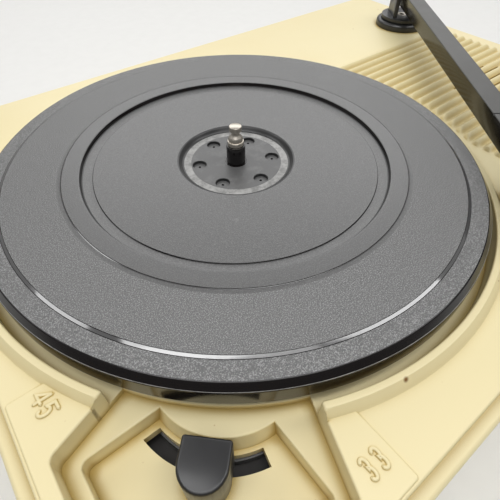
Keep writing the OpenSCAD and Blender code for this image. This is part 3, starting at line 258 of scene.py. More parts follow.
SHARP_ANGLE = math.radians(35)
FLAT_ANGLE = math.radians(0.5)
FACES_UP = 0.7


class Shell:
    """Gathers rows of vertices and the faces between them in one mesh."""

    def __init__(self):
        self.bm = bmesh.new()

    def row(self, points):
        return [self.bm.verts.new(Vector(p) * MM) for p in points]

    def level(self, loop, z):
        return self.row([(p.x, p.y, z) for p in loop])

    def bridge(self, a, b, closed=True, material=0):
        count = len(a) if closed else len(a) - 1
        for i in range(count):
            j = (i + 1) % len(a)
            corners = [a[i], a[j], b[j], b[i]]
            unique = [v for k, v in enumerate(corners) if v not in corners[:k]]
            if len(unique) > 2:
                self.bm.faces.new(unique).material_index = material

    def sweep(self, loop, profile):
        """Carries a profile of (outwards, z) points around a closed outline."""
        rows = [self.level(offset(loop, d), z) for d, z in profile]
        for a, b in zip(rows, rows[1:]):
            self.bridge(a, b)
        return rows

    def fill(self, *rows, material=0):
        edges = []
        for r in rows:
            for a, b in zip(r, r[1:] + r[:1]):
                edges.append(self.bm.edges.get((a, b)) or self.bm.edges.new((a, b)))
        made = bmesh.ops.triangle_fill(self.bm, edges=edges, use_beauty=True, use_dissolve=False)
        for f in made["geom"]:
            if isinstance(f, bmesh.types.BMFace):
                f.material_index = material

    def finish(self, name, materials):
        bmesh.ops.remove_doubles(self.bm, verts=self.bm.verts, dist=1e-7)
        bmesh.ops.recalc_face_normals(self.bm, faces=self.bm.faces)
        for f in self.bm.faces:
            f.smooth = True
        for e in self.bm.edges:
            e.smooth = not e.is_manifold or e.calc_face_angle(0) < SHARP_ANGLE
        mesh = bpy.data.meshes.new(name)
        self.bm.to_mesh(mesh)
        self.bm.free()
        for m in materials:
            mesh.materials.append(m)
        obj = bpy.data.objects.new(name, mesh)
        bpy.context.scene.collection.objects.link(obj)
        flats = obj.modifiers.new("flats", "WEIGHTED_NORMAL")
        flats.keep_sharp = True
        return obj


def place(obj, body, node):
    """Lets a piece ride on a body in the place of a CAD node."""
    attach(obj, body)
    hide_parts(node)


def add_turned(shell, centre, stretches, segments):
    """A turned form. Each stretch is (material index, points of (radius, z))."""
    for material, points in stretches:
        rows = []
        for r, z in points:
            if r < 1e-6:
                rows.append(shell.row([(centre.x, centre.y, z)]) * segments)
            else:
                rows.append(shell.level(circle(centre, r, segments), z))
        for a, b in zip(rows, rows[1:]):
            shell.bridge(a, b, material=material)


def revolve(name, centre, stretches, materials, segments):
    shell = Shell()
    add_turned(shell, centre, stretches, segments)
    return shell.finish(name, materials)


def softened(node, width, side, top=None):
    """A copy of a CAD node with its sharp edges rounded, and its upward faces in a second material if given,
    such as the arm's lighter top of painted sheen.
    """
    bm = bmesh.new()
    bm.from_mesh(frame["nodes"][node].data)
    bmesh.ops.remove_doubles(bm, verts=bm.verts, dist=1e-6)
    bmesh.ops.dissolve_limit(
        bm, angle_limit=FLAT_ANGLE, use_dissolve_boundaries=False, verts=bm.verts, edges=bm.edges
    )
    for f in bm.faces:
        f.smooth = True
        f.material_index = int(top is not None and f.normal.z > FACES_UP)
    mesh = bpy.data.meshes.new(node + "_soft")
    bm.to_mesh(mesh)
    bm.free()
    mesh.materials.append(side)
    if top is not None:
        mesh.materials.append(top)
    obj = bpy.data.objects.new(mesh.name, mesh)
    bpy.context.scene.collection.objects.link(obj)
    bevel = obj.modifiers.new("edges", "BEVEL")
    bevel.width = width * MM
    bevel.segments = 3
    bevel.limit_method = "ANGLE"
    bevel.angle_limit = SHARP_ANGLE
    bevel.harden_normals = True
    return obj


# Materials


class Nodes:
    """Builds one material's node tree."""

    INPUTS = {
        "color": "Base Color",
        "rough": "Roughness",
        "metal": "Metallic",
        "specular": "Specular IOR Level",
        "normal": "Normal",
        "coat": "Coat Weight",
        "coat_rough": "Coat Roughness",
    }

    def __init__(self, name):
        self.material = bpy.data.materials.new(name)
        self.material.use_nodes = True
        self.tree = self.material.node_tree
        self.shader = self.tree.nodes["Principled BSDF"]

    def add(self, kind, inputs=None, **settings):
        n = self.tree.nodes.new(kind)
        for k, v in settings.items():
            setattr(n, k, v)
        for k, v in (inputs or {}).items():
            self.put(n.inputs[k], v)
        return n

    def put(self, socket, value):
        if isinstance(value, bpy.types.NodeSocket):
            self.tree.links.new(value, socket)
        else:
            socket.default_value = value

    def set(self, **values):
        for k, v in values.items():
            self.put(self.shader.inputs[self.INPUTS[k]], v)
        return self.material

    def coordinates(self):
        return self.add("ShaderNodeTexCoord").outputs["Object"]

    def noise(self, scale, detail=2, rough=0.5):
        settings = {"Vector": self.coordinates(), "Scale": scale, "Detail": detail, "Roughness": rough}
        return self.add("ShaderNodeTexNoise", settings).outputs["Fac"]

    def blend(self, fac, a, b):
        n = self.add("ShaderNodeMix", data_type="RGBA")
        self.put(n.inputs["Factor"], fac)
        self.put(n.inputs["A"], a)
        self.put(n.inputs["B"], b)
        return n.outputs["Result"]

    def span(self, value, low, high, to_low=0.0, to_high=1.0):
        n = self.add(
            "ShaderNodeMapRange",
            {"Value": value, "From Min": low, "From Max": high, "To Min": to_low, "To Max": to_high},
        )
        return n.outputs["Result"]

    def vary(self, scale, detail, low=0.0, high=1.0):
        """A value that drifts between low and high over the piece."""
        return self.span(self.noise(scale, detail), 0.3, 0.7, low, high)

    def bump(self, height, relief, strength=1.0):
        """Normals of a relief given in millimetres."""
        n = self.add("ShaderNodeBump", {"Height": height, "Distance": relief * MM, "Strength": strength})
        return n.outputs["Normal"]


def rgb(r, g, b):
    return (r, g, b, 1.0)


# A brown stain on the lip, full in its core and gone at its radius
STAIN = polar(SPINDLE, LIP_R + 0.4, 259).to_3d() + Vector((0, 0, LIP_Z - 0.45))
STAIN_CORE_R = 0.3
STAIN_R = 1

# Shade is painted into the plastic's crevices: its colour turns darker and more orange within this reach of a
# wall
PAINTED_SHADE_REACH = 3.5


def make_cream():
    n = Nodes("cream_plastic")
    patches = n.span(n.noise(11, 3), 0.35, 0.7)
    color = n.blend(patches, rgb(0.80, 0.705, 0.425), rgb(0.78, 0.675, 0.395))
    # Painted shade: the cream turns orange-brown wherever ambient occlusion finds a wall near
    open_air = n.add("ShaderNodeAmbientOcclusion", {"Distance": PAINTED_SHADE_REACH * MM}, samples=8)
    painted_crevice_shade = n.span(open_air.outputs["AO"], 0.55, 0.93, 1.0, 0.0)
    color = n.blend(painted_crevice_shade, color, rgb(0.50, 0.36, 0.11))
    specks = n.span(n.noise(420, 1), 0.80, 0.82)
    color = n.blend(specks, color, rgb(0.52, 0.36, 0.14))
    away = n.add("ShaderNodeVectorMath", {0: n.coordinates(), 1: STAIN * MM}, operation="DISTANCE")
    stain = n.span(away.outputs["Value"], STAIN_CORE_R * MM, STAIN_R * MM, 1.0, 0.0)
    color = n.blend(stain, color, rgb(0.20, 0.09, 0.02))
    return n.set(
        color=color,
        rough=n.vary(60, 3, 0.33, 0.42),
        specular=0.4,
        normal=n.bump(n.noise(1400, 2), 0.02, 0.25),
    )


def make_textured(name, low, high, relief):
    """Fine moulded grain with dust on it; its grey base, mixed between a low and a high grey by the grain, is
    painted sheen and sparkle on near-black plastic.
    """
    n = Nodes(name)
    grain = n.noise(3200, 1)
    painted_sparkle = n.span(grain, 0.48, 0.68)
    dust = n.span(n.noise(75, 7, 0.8), 0.62, 0.78)
    color = n.blend(painted_sparkle, rgb(low, low, low), rgb(high, high, 0.99 * high))
    color = n.blend(dust, color, rgb(0.22, 0.22, 0.215))
    return n.set(color=color, rough=0.30, specular=0.75, normal=n.bump(grain, relief))


def make_gloss():
    n = Nodes("black_gloss")
    return n.set(
        color=rgb(0.008, 0.0065, 0.0065),
        rough=n.vary(40, 4, 0.09, 0.15),
        specular=0.55,
    )


def make_band():
    n = Nodes("black_band")
    return n.set(
        # Its grey base is painted sheen, lighter than the black plastic itself
        color=rgb(0.070, 0.070, 0.071),
        rough=n.vary(300, 4, 0.05, 0.13),
        specular=1.0,
        coat=1.0,
        coat_rough=0.06,
    )


def make_satin():
    n = Nodes("black_satin")
    tone = n.vary(45, 4)
    return n.set(
        color=n.blend(tone, rgb(0.020, 0.020, 0.021), rgb(0.028, 0.028, 0.028)),
        rough=n.vary(120, 3, 0.28, 0.36),
        specular=0.55,
        normal=n.bump(n.noise(2200, 2), 0.03, 0.25),
    )


def make_arm():
    n = Nodes("black_arm")
    tone = n.vary(60, 4)
    return n.set(
        color=n.blend(tone, rgb(0.014, 0.012, 0.008), rgb(0.019, 0.016, 0.011)),
        rough=n.vary(120, 3, 0.13, 0.18),
        specular=0.30,
    )


def make_arm_top_sheen():
    n = Nodes("black_arm_top_sheen")
    tone = n.vary(60, 4)
    return n.set(
        # A lighter copy of the arm's black plastic for its top faces: painted sheen from the light above
        color=n.blend(tone, rgb(0.078, 0.078, 0.075), rgb(0.095, 0.094, 0.090)),
        rough=n.vary(120, 3, 0.42, 0.50),
        specular=0.5,
        normal=n.bump(n.noise(2600, 2), 0.06, 0.4),
    )


# Grey for the hub's worn ring, also used as a painted highlight along the foot of the platter's bevel
def make_wear_and_glint():
    n = Nodes("worn_ring_and_edge_glint")
    marks = n.span(n.noise(260, 5, 0.7), 0.38, 0.62)
    color = n.blend(marks, rgb(0.19, 0.189, 0.184), rgb(0.37, 0.367, 0.357))
    return n.set(color=color, rough=0.5, normal=n.bump(n.noise(1500, 3), 0.06, 0.4))


def make_dark():
    n = Nodes("dark_plastic")
    grain = n.noise(2300, 2, 0.6)
    dust = n.span(n.noise(200, 5, 0.7), 0.5, 0.8)
    color = n.blend(dust, rgb(0.085, 0.085, 0.085), rgb(0.15, 0.15, 0.148))
    return n.set(color=color, rough=0.42, specular=0.75, normal=n.bump(grain, 0.08, 0.4))


def make_plain(name, color, rough, metal=0.0, grain=0.0, shade=0.86):
    n = Nodes(name)
    tone = n.vary(80, 3)
    darker = rgb(*(c * shade for c in color))
    n.set(
        color=n.blend(tone, rgb(*color), darker),
        metal=metal,
        rough=n.vary(150, 3, rough * 0.85, rough * 1.15),
    )
    if grain:
        n.set(normal=n.bump(n.noise(1800, 2), 0.05, grain))
    return n.material


CREAM = make_cream()
# The grey bases of these black plastics are painted sheen and sparkle; the plastic itself is near black
TEXTURED = make_textured("black_textured", 0.10, 0.29, 0.18)
FINE = make_textured("black_fine", 0.092, 0.150, 0.08)
GLOSS = make_gloss()
BAND = make_band()
SATIN = make_satin()
ARM = make_arm()
ARM_TOP_SHEEN = make_arm_top_sheen()
WORN_AND_GLINT = make_wear_and_glint()
DARK = make_dark()
NICKEL = make_plain("nickel", (0.70, 0.65, 0.57), 0.36, 1.0)
STEEL = make_plain("steel", (0.62, 0.62, 0.62), 0.34, 1.0)
# Near-black steel: painted shade where the steel lies in the dark
STEEL_PAINTED_SHADE = make_plain("steel_in_painted_shade", (0.025, 0.022, 0.020), 0.6)
LAMINATION = make_plain("lamination", (0.16, 0.16, 0.17), 0.45, 0.6, 0.2)
ZINC = make_plain("zinc", (0.55, 0.55, 0.57), 0.45, 1.0, 0.2)
BRASS = make_plain("brass", (0.72, 0.52, 0.22), 0.28, 1.0)
RUBBER = make_plain("rubber", (0.028, 0.028, 0.028), 0.75, 0.0, 0.4)
NYLON = make_plain("nylon", (0.74, 0.74, 0.70), 0.45)
PAPER = make_plain("paper", (0.035, 0.033, 0.030), 0.9, 0.0, 0.6)
WINDING = make_plain("winding", (0.50, 0.34, 0.12), 0.5)
BOARD = make_plain("board", (0.30, 0.19, 0.07), 0.55)
CAN = make_plain("can", (0.06, 0.10, 0.24), 0.3)
STYLUS = make_plain("stylus", (0.50, 0.10, 0.06), 0.35)

SLOT_MATERIALS = {
    "cream_plastic": CREAM,
    "black_gloss": GLOSS,
    "black_textured": ARM,
    "dark_plastic": DARK,
    "nickel": NICKEL,
    "steel": STEEL,
    "lamination": LAMINATION,
    "zinc": ZINC,
    "brass": BRASS,
    "rubber": RUBBER,
    "nylon": NYLON,
    "paper": PAPER,
    "winding": WINDING,
    "board": BOARD,
    "can": CAN,
    "needle_red": STYLUS,
}
for part in frame["record"]["subparts"]:
    mesh = frame["nodes"][part["node"]].data
    mesh.materials.clear()
    mesh.materials.append(SLOT_MATERIALS[part["material_slot"]])

# The steel under the platter and in the pocket is coloured near black: painted shade for the dark pocket and
# the space under the platter
for node in ("motor_plate", "motor_stack", "motor_straps", "lever_washer"):
    frame["nodes"][node].data.materials[0] = STEEL_PAINTED_SHADE


# Deck

LEFT_RUN = polar(Vector((0, 0)), 1, RECESS_LEFT_DIR)
RIGHT_RUN = polar(Vector((0, 0)), 1, RECESS_RIGHT_DIR)
RECESS_LEFT = polar(SPINDLE, WELL_R, RECESS_LEFT_AT)
RECESS_RIGHT = polar(SPINDLE, WELL_R, RECESS_RIGHT_AT)


def recess_lines(grow):
    """Sides of the recess in anticlockwise order, as (point, direction), moved outwards."""
    sides = [
        (RECESS_LEFT, LEFT_RUN),
        (Vector((RECESS_X, 0)), Vector((0, -1))),
        (Vector((RECESS_X, RECESS_Y + RECESS_CHAMFER)), Vector((1, -1)).normalized()),
        (Vector((0, RECESS_Y)), Vector((1, 0))),
        (RECESS_RIGHT, -RIGHT_RUN),
    ]
    return [(p + grow * Vector((u.y, -u.x)), u) for p, u in sides]


def recess_corners(grow, well_r):
    """Corners of the recess from the left end of the well's wall to its right end."""
    lines = recess_lines(grow)
    inner = [meet(*a, *b) for a, b in zip(lines, lines[1:])]
    left = on_circle(*lines[0], SPINDLE, well_r)
    p, u = lines[-1]
    right = on_circle(p, -u, SPINDLE, well_r)
    return [left] + inner + [right]


def well_outline(well_r, grow):
    """The well and the recess as one outline."""
    corners = recess_corners(grow, well_r)
    margin = math.degrees(RECESS_JOINT / well_r)
    start = angle_of(corners[-1], SPINDLE) + margin
    end = angle_of(corners[0], SPINDLE) + 360 - margin
    round_part = arc(SPINDLE, well_r, start, end, step=1.25)
    return rounded(corners + round_part, RECESS_RADII + [0] * len(round_part))


def panel_outline():
    """The raised corner around the recess, up to the lip."""
    r = PANEL_WELL_R
    corners = recess_corners(0, r)
    back = SPINDLE.y - PANEL_BACK_Y
    side = SPINDLE.x - PANEL_RIGHT_X
    start_left = 180 + math.degrees(math.asin(back / r))
    start_right = 270 - math.degrees(math.asin(side / r))
    left_x = CASE_LOW.x + LEDGE_W + PANEL_INSET
    front_y = CASE_LOW.y + LEDGE_W + PANEL_INSET
    outer = [Vector((left_x, PANEL_BACK_Y)), Vector((left_x, front_y)), Vector((PANEL_RIGHT_X, front_y))]
    right_arc = arc(SPINDLE, r, start_right, angle_of(corners[-1], SPINDLE) + PANEL_END_TURN)
    left_arc = arc(SPINDLE, r, angle_of(corners[0], SPINDLE) - PANEL_END_TURN, start_left)
    points = outer + right_arc + corners[::-1] + left_arc
    radii = [PANEL_CORNER_R, CASE_CORNER_R - LEDGE_W - PANEL_INSET, PANEL_CORNER_R]
    recess_radii = [PANEL_END_R] + RECESS_RADII[1:-1] + [PANEL_END_R]
    radii += [0] * len(right_arc) + recess_radii + [0] * len(left_arc)
    return rounded(points, radii)


def pocket_outline(hump_r):
    """The lever pocket, whose sides run into the motor hump."""
    corners = [
        Vector((POCKET_X, MOTOR.y - POCKET_SIDE)),
        Vector((POCKET_X, POCKET_Y + POCKET_CHAMFER)),
        Vector((POCKET_X + POCKET_CHAMFER, POCKET_Y)),
        Vector((MOTOR.x - POCKET_SIDE, POCKET_Y)),
    ]
    turn = POCKET_HALF_TURN - math.degrees(math.asin(POCKET_SIDE / hump_r))
    turns = [turn * (1 - i / HUMP_STEPS) for i in range(2 * HUMP_STEPS + 1)]
    hump = [polar(MOTOR, hump_r, LEVER_DIR + t) for t in turns]
    return rounded(corners + hump, POCKET_RADII + [0] * len(hump), steps=4)


def add_deck_plate(shell):
    """The deck's sides and ledge; returns the plate's border and the edge of its hole."""
    profile = [(-CASE_WALL, SEAM_Z), (-SEAM_CHAMFER, SEAM_Z), (0, SEAM_Z + SEAM_CHAMFER)]
    profile += round_over(LEDGE_Z, CASE_EDGE_R, -1)
    fillet = [(LEDGE_FILLET, 0), (LEDGE_FILLET_MIDDLE, LEDGE_FILLET_MIDDLE), (0, LEDGE_FILLET)]
    profile += [(d - LEDGE_W, LEDGE_Z + z) for d, z in fillet]
    profile += [(d - LEDGE_W, z) for d, z in round_over(DECK_Z, STEP_EDGE_R, -1)]
    rows = [shell.level(rounded_box(-d), z) for d, z in profile]
    for a, b in zip(rows, rows[1:]):
        shell.bridge(a, b)
    hole = shell.level(well_outline(LIP_R - LIP_OVERLAP, LIP_OVERLAP), DECK_Z)
    return rows[-1], hole


def rib_height(y):
    """Height of the washboard at y, between two valleys."""
    i = min(max(round(y / RIB_PITCH), -RIBS_FRONT), RIBS_BACK)
    across = min(1, abs(y - i * RIB_PITCH) / RIB_HALF_W)
    return RIB_RISE * (1 + math.cos(math.pi * across)) / 2


def rib_start(y):
    """Left end of the washboard at y: round along the lip, then straight."""
    return max(RIB_START_X, SPINDLE.x + math.sqrt(RIB_START_R**2 - y * y))


def rib_lines():
    """The lines along X that the washboard is drawn on, from front to back."""
    edge = RIB_HALF_W - SOUND_SLOT_W / 2
    lines = [-RIBS_FRONT * RIB_PITCH - RIB_HALF_W]
    for i in range(-RIBS_FRONT, RIBS_BACK + 1):
        lines += [i * RIB_PITCH + edge * k / RIB_STEPS for k in range(-RIB_STEPS, RIB_STEPS + 1)]
        lines.append(i * RIB_PITCH + RIB_HALF_W)
    return lines


def slot_half_length(y):
    """Half the length of the sound slot whose valley is nearest to y."""
    valley = (math.floor(y / RIB_PITCH) + 0.5) * RIB_PITCH
    if abs(y - valley) > SOUND_SLOT_W / 2:
        return 0
    return math.sqrt(max(0.0, GRILLE_R**2 - (valley - SPEAKER.y) ** 2))


def open_slots(shell, faces):
    """Takes faces out of the washboard and gives the holes their walls."""
    rims = set()
    for f in faces:
        rims ^= set(f.edges)
    bmesh.ops.delete(shell.bm, geom=faces, context="FACES_ONLY")
    walls = bmesh.ops.extrude_edge_only(shell.bm, edges=[e for e in rims if e.is_valid])
    for v in walls["geom"]:
        if isinstance(v, bmesh.types.BMVert):
            v.co.z = (DECK_Z - CASE_WALL) * MM


def add_grille(shell):
    """The washboard of ribs with its sound slots; returns its border, which lies in the deck."""
    lines = rib_lines()
    rows = []
    for y in lines:
        start = rib_start(y)
        points = []
        for k in range(RIB_COLUMNS + 1):
            x = start + (RIB_END_X - start) * k / RIB_COLUMNS
            near = min(x - start, RIB_END_X - x, RIB_END_ROUND) / RIB_END_ROUND
            lift = math.sqrt(max(0.0, 1 - (1 - near) ** 2))
            points.append((x, y, DECK_Z + rib_height(y) * lift))
        rows.append(shell.row(points))
    slot_faces = []
    for n, (a, b) in enumerate(zip(rows, rows[1:])):
        half = slot_half_length((lines[n] + lines[n + 1]) / 2)
        for k in range(RIB_COLUMNS):
            f = shell.bm.faces.new((a[k], a[k + 1], b[k + 1], b[k]))
            if abs((a[k].co.x + a[k + 1].co.x) / 2 / MM - SPEAKER.x) < half:
                slot_faces.append(f)
    border = rows[0] + [r[-1] for r in rows[1:-1]] + rows[-1][::-1] + [r[0] for r in rows[-2:0:-1]]
    open_slots(shell, slot_faces)
    return border


def around_well(r, z, line_r):
    """Points around the well at radius r, from one side of the recess to the other.

    They end at the angles where the recess's sides cross the radius line_r.
    """
    corners = recess_corners(0, line_r)
    start = angle_of(corners[-1], SPINDLE)
    end = angle_of(corners[0], SPINDLE) + 360
    turns = [start + (end - start) * i / WELL_STEPS for i in range(WELL_STEPS + 1)]
    return [(*polar(SPINDLE, r, turn), z) for turn in turns]


def add_lip(shell):
    """The lip around the well, cut off by the two sides of the recess."""
    profile = [(WELL_R, RECESS_Z - SUNK)]
    profile += [(WELL_R - d, z) for d, z in round_over(LIP_Z, LIP_EDGE_R, -1)]
    profile += [(LIP_R - 0.5, LIP_Z), (LIP_R - 0.1, LIP_Z - 0.08), (LIP_R + 0.25, LIP_Z - 0.45)]
    profile += [(LIP_FOOT_R - 0.35, DECK_Z + 0.45), (LIP_FOOT_R + 0.1, DECK_Z + 0.08)]
    profile += [(LIP_FOOT_R + 0.5, DECK_Z - 0.3)]
    rows = [shell.row(around_well(r, z, r)) for r, z in profile]
    for a, b in zip(rows, rows[1:]):
        shell.bridge(a, b, closed=False)
    for end in (0, -1):
        foot = rows[-1][end].co / MM
        cap = [r[end] for r in rows] + shell.row([(foot.x, foot.y, RECESS_Z - SUNK)])
        face = shell.bm.faces.new(cap)
        edges = [e for e in face.edges if len(e.link_faces) == 2]
        bmesh.ops.bevel(shell.bm, geom=edges, offset=LIP_EDGE_R * MM, segments=3, affect="EDGES", profile=0.5)


def add_panel(shell):
    top = DECK_Z + PANEL_RISE
    rows = shell.sweep(panel_outline(), [(0, RECESS_Z - SUNK)] + round_over(top, PANEL_EDGE_R, -1))
    shell.fill(rows[-1])


def add_well_floor(shell):
    """Floor of the well around the platter's skirt, with the step down to the recess."""
    inner_r = STEP_R - WELL_FLOOR_W
    rows = [shell.row(around_well(r, WELL_Z, max(r, STEP_R))) for r in (inner_r, STEP_R, WELL_R + SUNK)]
    for a, b in zip(rows, rows[1:]):
        shell.bridge(a, b, closed=False)
    for end in (0, -1):
        top = [r[end] for r in rows[1:]]
        low = shell.row([(v.co.x / MM, v.co.y / MM, RECESS_Z - SUNK) for v in top])
        shell.bridge(top, low, closed=False)
    corners = recess_corners(0, STEP_R)
    start, end = angle_of(corners[0], SPINDLE), angle_of(corners[-1], SPINDLE)
    profile = [(STEP_R, RECESS_Z - SUNK)]
    profile += [(STEP_R + d, z) for d, z in round_over(WELL_Z, FLOOR_STEP_EDGE_R, -1)]
    profile.append((inner_r, WELL_Z))
    rows = [shell.level(arc(SPINDLE, r, start, end, step=1), z) for r, z in profile]
    for a, b in zip(rows, rows[1:]):
        shell.bridge(a, b, closed=False)


def add_recess_floor(shell):
    """The recess's floor and the pocket's walls; returns the foot of the walls."""
    inner_r = STEP_R - RECESS_OVERLAP
    corners = recess_corners(RECESS_OVERLAP, inner_r)
    start, end = angle_of(corners[-1], SPINDLE), angle_of(corners[0], SPINDLE)
    inner = arc(SPINDLE, inner_r, start, end, step=1)
    outer = shell.level(corners[:-1] + inner[:-1], RECESS_Z)
    top = pocket_outline(HUMP_R)
    rim = [shell.level(offset(top, -d), z) for d, z in reversed(round_over(RECESS_Z, POCKET_EDGE_R, -1))]
    foot = shell.level(pocket_outline(HUMP_FOOT_R), POCKET_Z)
    for a, b in zip(rim, rim[1:] + [foot]):
        shell.bridge(a, b)
    shell.fill(outer, rim[0])
    return foot


def add_pocket_floor(shell, foot):
    """The pocket's floor, open where the speed lever passes."""
    in_r = LEVER_SLOT_IN_R
    out_r = in_r + LEVER_SLOT_W
    side = POCKET_SIDE + LEVER_SLOT_MARGIN
    in_start, out_start = (180 + math.degrees(math.asin(side / r)) for r in (in_r, out_r))
    end = LEVER_DIR + LEVER_SLOT_TURN
    slot = arc(MOTOR, in_r, end, in_start, step=2) + arc(MOTOR, out_r, out_start, end, step=2)
    row = shell.level(slot, POCKET_Z)
    shell.fill(foot, row)
    shell.bridge(row, shell.level(slot, POCKET_Z - CASE_WALL))


# Raised numbers

DIGIT_H = 4.6
DIGIT_W = 0.62 * DIGIT_H
DIGIT_GAP = 0.9
NUMBER_INSET = 3
NUMBER_AWAY = 4

# A stroke is sunk a little, and ends in a smaller section beyond its last point
STROKE = 1.1
STROKE_RISE = 0.5
STROKE_SUNK = 0.1
STROKE_END = 0.4 * STROKE
STROKE_END_SIZE = 0.35
STROKE_STEPS = 8
STROKE_MITRE_LIMIT = 0.5
BOWL_STEP = 12


def bowl(x, y, r, start, end):
    """Part of a circle between two angles, for a digit's path."""
    turns = [math.radians(a) for a in range(start, end, -BOWL_STEP if end < start else BOWL_STEP)]
    return [(x + r * math.cos(t), y + r * math.sin(t)) for t in turns]


# Paths of the digits in a box one unit wide and high
DIGITS = {
    "4": [[(0.66, 1.0), (0.02, 0.30), (1.0, 0.30)], [(0.66, 1.0), (0.66, 0.0)]],
    "5": [[(0.94, 1.0), (0.20, 1.0), (0.14, 0.56)] + bowl(0.46, 0.32, 0.33, 130, -150)],
    "3": [bowl(0.46, 0.76, 0.27, 150, -90) + bowl(0.46, 0.27, 0.29, 80, -160)],
}


def add_bead(shell, path, z, material=0):
    """A raised stroke of round section along a path."""
    points = [Vector(p) for p in path]
    rows = []
    for i, p in enumerate(points):
        back = (p - points[i - 1]).normalized() if i else Vector((0, 0))
        ahead = (points[i + 1] - p).normalized() if i + 1 < len(points) else Vector((0, 0))
        along = (back + ahead).normalized()
        side = Vector((along.y, -along.x))
        if back.length and ahead.length:
            side /= max(STROKE_MITRE_LIMIT, along.dot(ahead))
        rows.append((p, side))
    first = (points[0] - points[1]).normalized() * STROKE_END
    last = (points[-1] - points[-2]).normalized() * STROKE_END
    sections = [(points[0] + first, rows[0][1], STROKE_END_SIZE)]
    sections += [(p, side, 1.0) for p, side in rows]
    sections += [(points[-1] + last, rows[-1][1], STROKE_END_SIZE)]
    made = []
    for p, side, size in sections:
        ring = []
        for k in range(STROKE_STEPS + 1):
            t = math.pi * k / STROKE_STEPS
            q = p + side * (STROKE / 2 * size * math.cos(t))
            lift = (STROKE_RISE * size + STROKE_SUNK) * math.sin(t)
            ring.append((q.x, q.y, z - STROKE_SUNK + lift))
        made.append(shell.row(ring))
    for a, b in zip(made, made[1:]):
        shell.bridge(a, b, closed=False, material=material)
    for end in (made[0], made[-1]):
        shell.bm.faces.new(end).material_index = material


def add_number(shell, text, centre, turn):
    """A raised number on the panel, turned by an angle."""
    width = len(text) * DIGIT_W + (len(text) - 1) * DIGIT_GAP
    spin = Matrix.Rotation(math.radians(turn), 2)
    for i, digit in enumerate(text):
        left = i * (DIGIT_W + DIGIT_GAP) - width / 2
        for path in DIGITS[digit]:
            marks = [Vector((left + x * DIGIT_W, (y - 0.5) * DIGIT_H)) for x, y in path]
            add_bead(shell, [centre + spin @ m for m in marks], DECK_Z + PANEL_RISE)


def make_deck():
    shell = Shell()
    rim, hole = add_deck_plate(shell)
    border = add_grille(shell)
    shell.fill(rim, hole, border)
    add_lip(shell)
    add_panel(shell)
    add_well_floor(shell)
    add_pocket_floor(shell, add_recess_floor(shell))
    corner = recess_corners(0, WELL_R)[1]
    inset = DIGIT_W + NUMBER_INSET
    add_number(shell, "45", Vector((corner.x + NUMBER_AWAY, PANEL_BACK_Y - inset)), -90)
    add_number(shell, "33", Vector((PANEL_RIGHT_X - inset, RECESS_Y + NUMBER_AWAY)), 0)
    return shell.finish("deck_moulding", [CREAM])


place(make_deck(), "base", "deck")


# Platter, drawn as (radius, height above its raised ring)

PLATTER_STEPS = 360
RIM_R = PLATTER_R - 1.75
SKIRT_IN_R = PLATTER_R - 3
SLEEVE_TOP = [(2.05, SLEEVE_RISE), (3.3, SLEEVE_RISE), (3.5, 3.92), (3.55, 3.7)]
SLEEVE = SLEEVE_TOP + [(3.55, -3.3), (4.2, -3.3), (4.2, -4.9)]
HUB_SEAT = [(4.2, -4.9), (17.2, -4.9), (17.2, -3.3)]
HUB_RING = [(17.2, -3.3), (19.9, -3.3)]
HUB_EDGE = [(19.9, -3.3), (20.3, -3.26), (20.7, -3), (21.2, -2.4), (21.6, -1.85), (21.9, -1.64), (22.3, -1.6)]
LABEL = [(22.3, -1.6), (52.9, -1.6)]
LABEL_EDGE = [(52.9, -1.6), (53.0, -1.63), (53.06, -1.7), (53.1, -1.98), (53.2, -2.03)]
LABEL_FOOT = [(53.2, -2.03), (54.3, -2.01), (55.6, -1.9), (56.5, -1.72)]
LABEL_FILLET = [(56.5, -1.72), (56.85, -1.5)]
LABEL_WALL = [(56.85, -1.5), (57.25, -0.22)]
RING = [(57.25, -0.22), (57.4, -0.08), (57.8, 0), (63.3, 0)]
RING_EDGE = [(63.3, 0), (63.45, -0.01), (63.55, -0.05)]
RING_GLINT = [(63.55, -0.05), (63.8, -0.12)]
RING_SLOPE = [(63.8, -0.12), (65, -0.28)]
RECORD_ZONE = [(65, -0.28), (83.1, -0.28)]
RIM_INNER_LINE = [(83.1, -0.28), (83.2, -0.3), (83.28, -0.38)]
RIM_BAND = [(83.28, -0.38), (84.13, -0.62)]
RIM_OUTER_LINE = [(84.13, -0.62), (84.2, -0.7), (84.32, -0.7)]
RIM = [(84.32, -0.7), (RIM_R - 0.3, -0.7)]
BEVEL = [(RIM_R - 0.3, -0.7), (RIM_R, -0.82), (RIM_R + 0.2, -1.05), (PLATTER_R - 0.25, -2.75)]
# A thin grey ring at the bevel's foot is a painted highlight
PAINTED_EDGE_GLINT = [(PLATTER_R - 0.25, -2.75), (PLATTER_R - 0.14, -2.89)]
SKIRT = [(PLATTER_R - 0.14, -2.89), (PLATTER_R - 0.04, -3.05), (PLATTER_R, -3.3), (PLATTER_R, -8.9)]
SKIRT_FOOT = [(PLATTER_R, -8.9), (PLATTER_R - 0.3, -9.15), (SKIRT_IN_R, -9.15), (SKIRT_IN_R, -3.4)]
UNDERSIDE = [(SKIRT_IN_R, -3.4), (24, -3.4), (22, -6.2), (9, -6.2), (9, -12), (2.05, -12)]


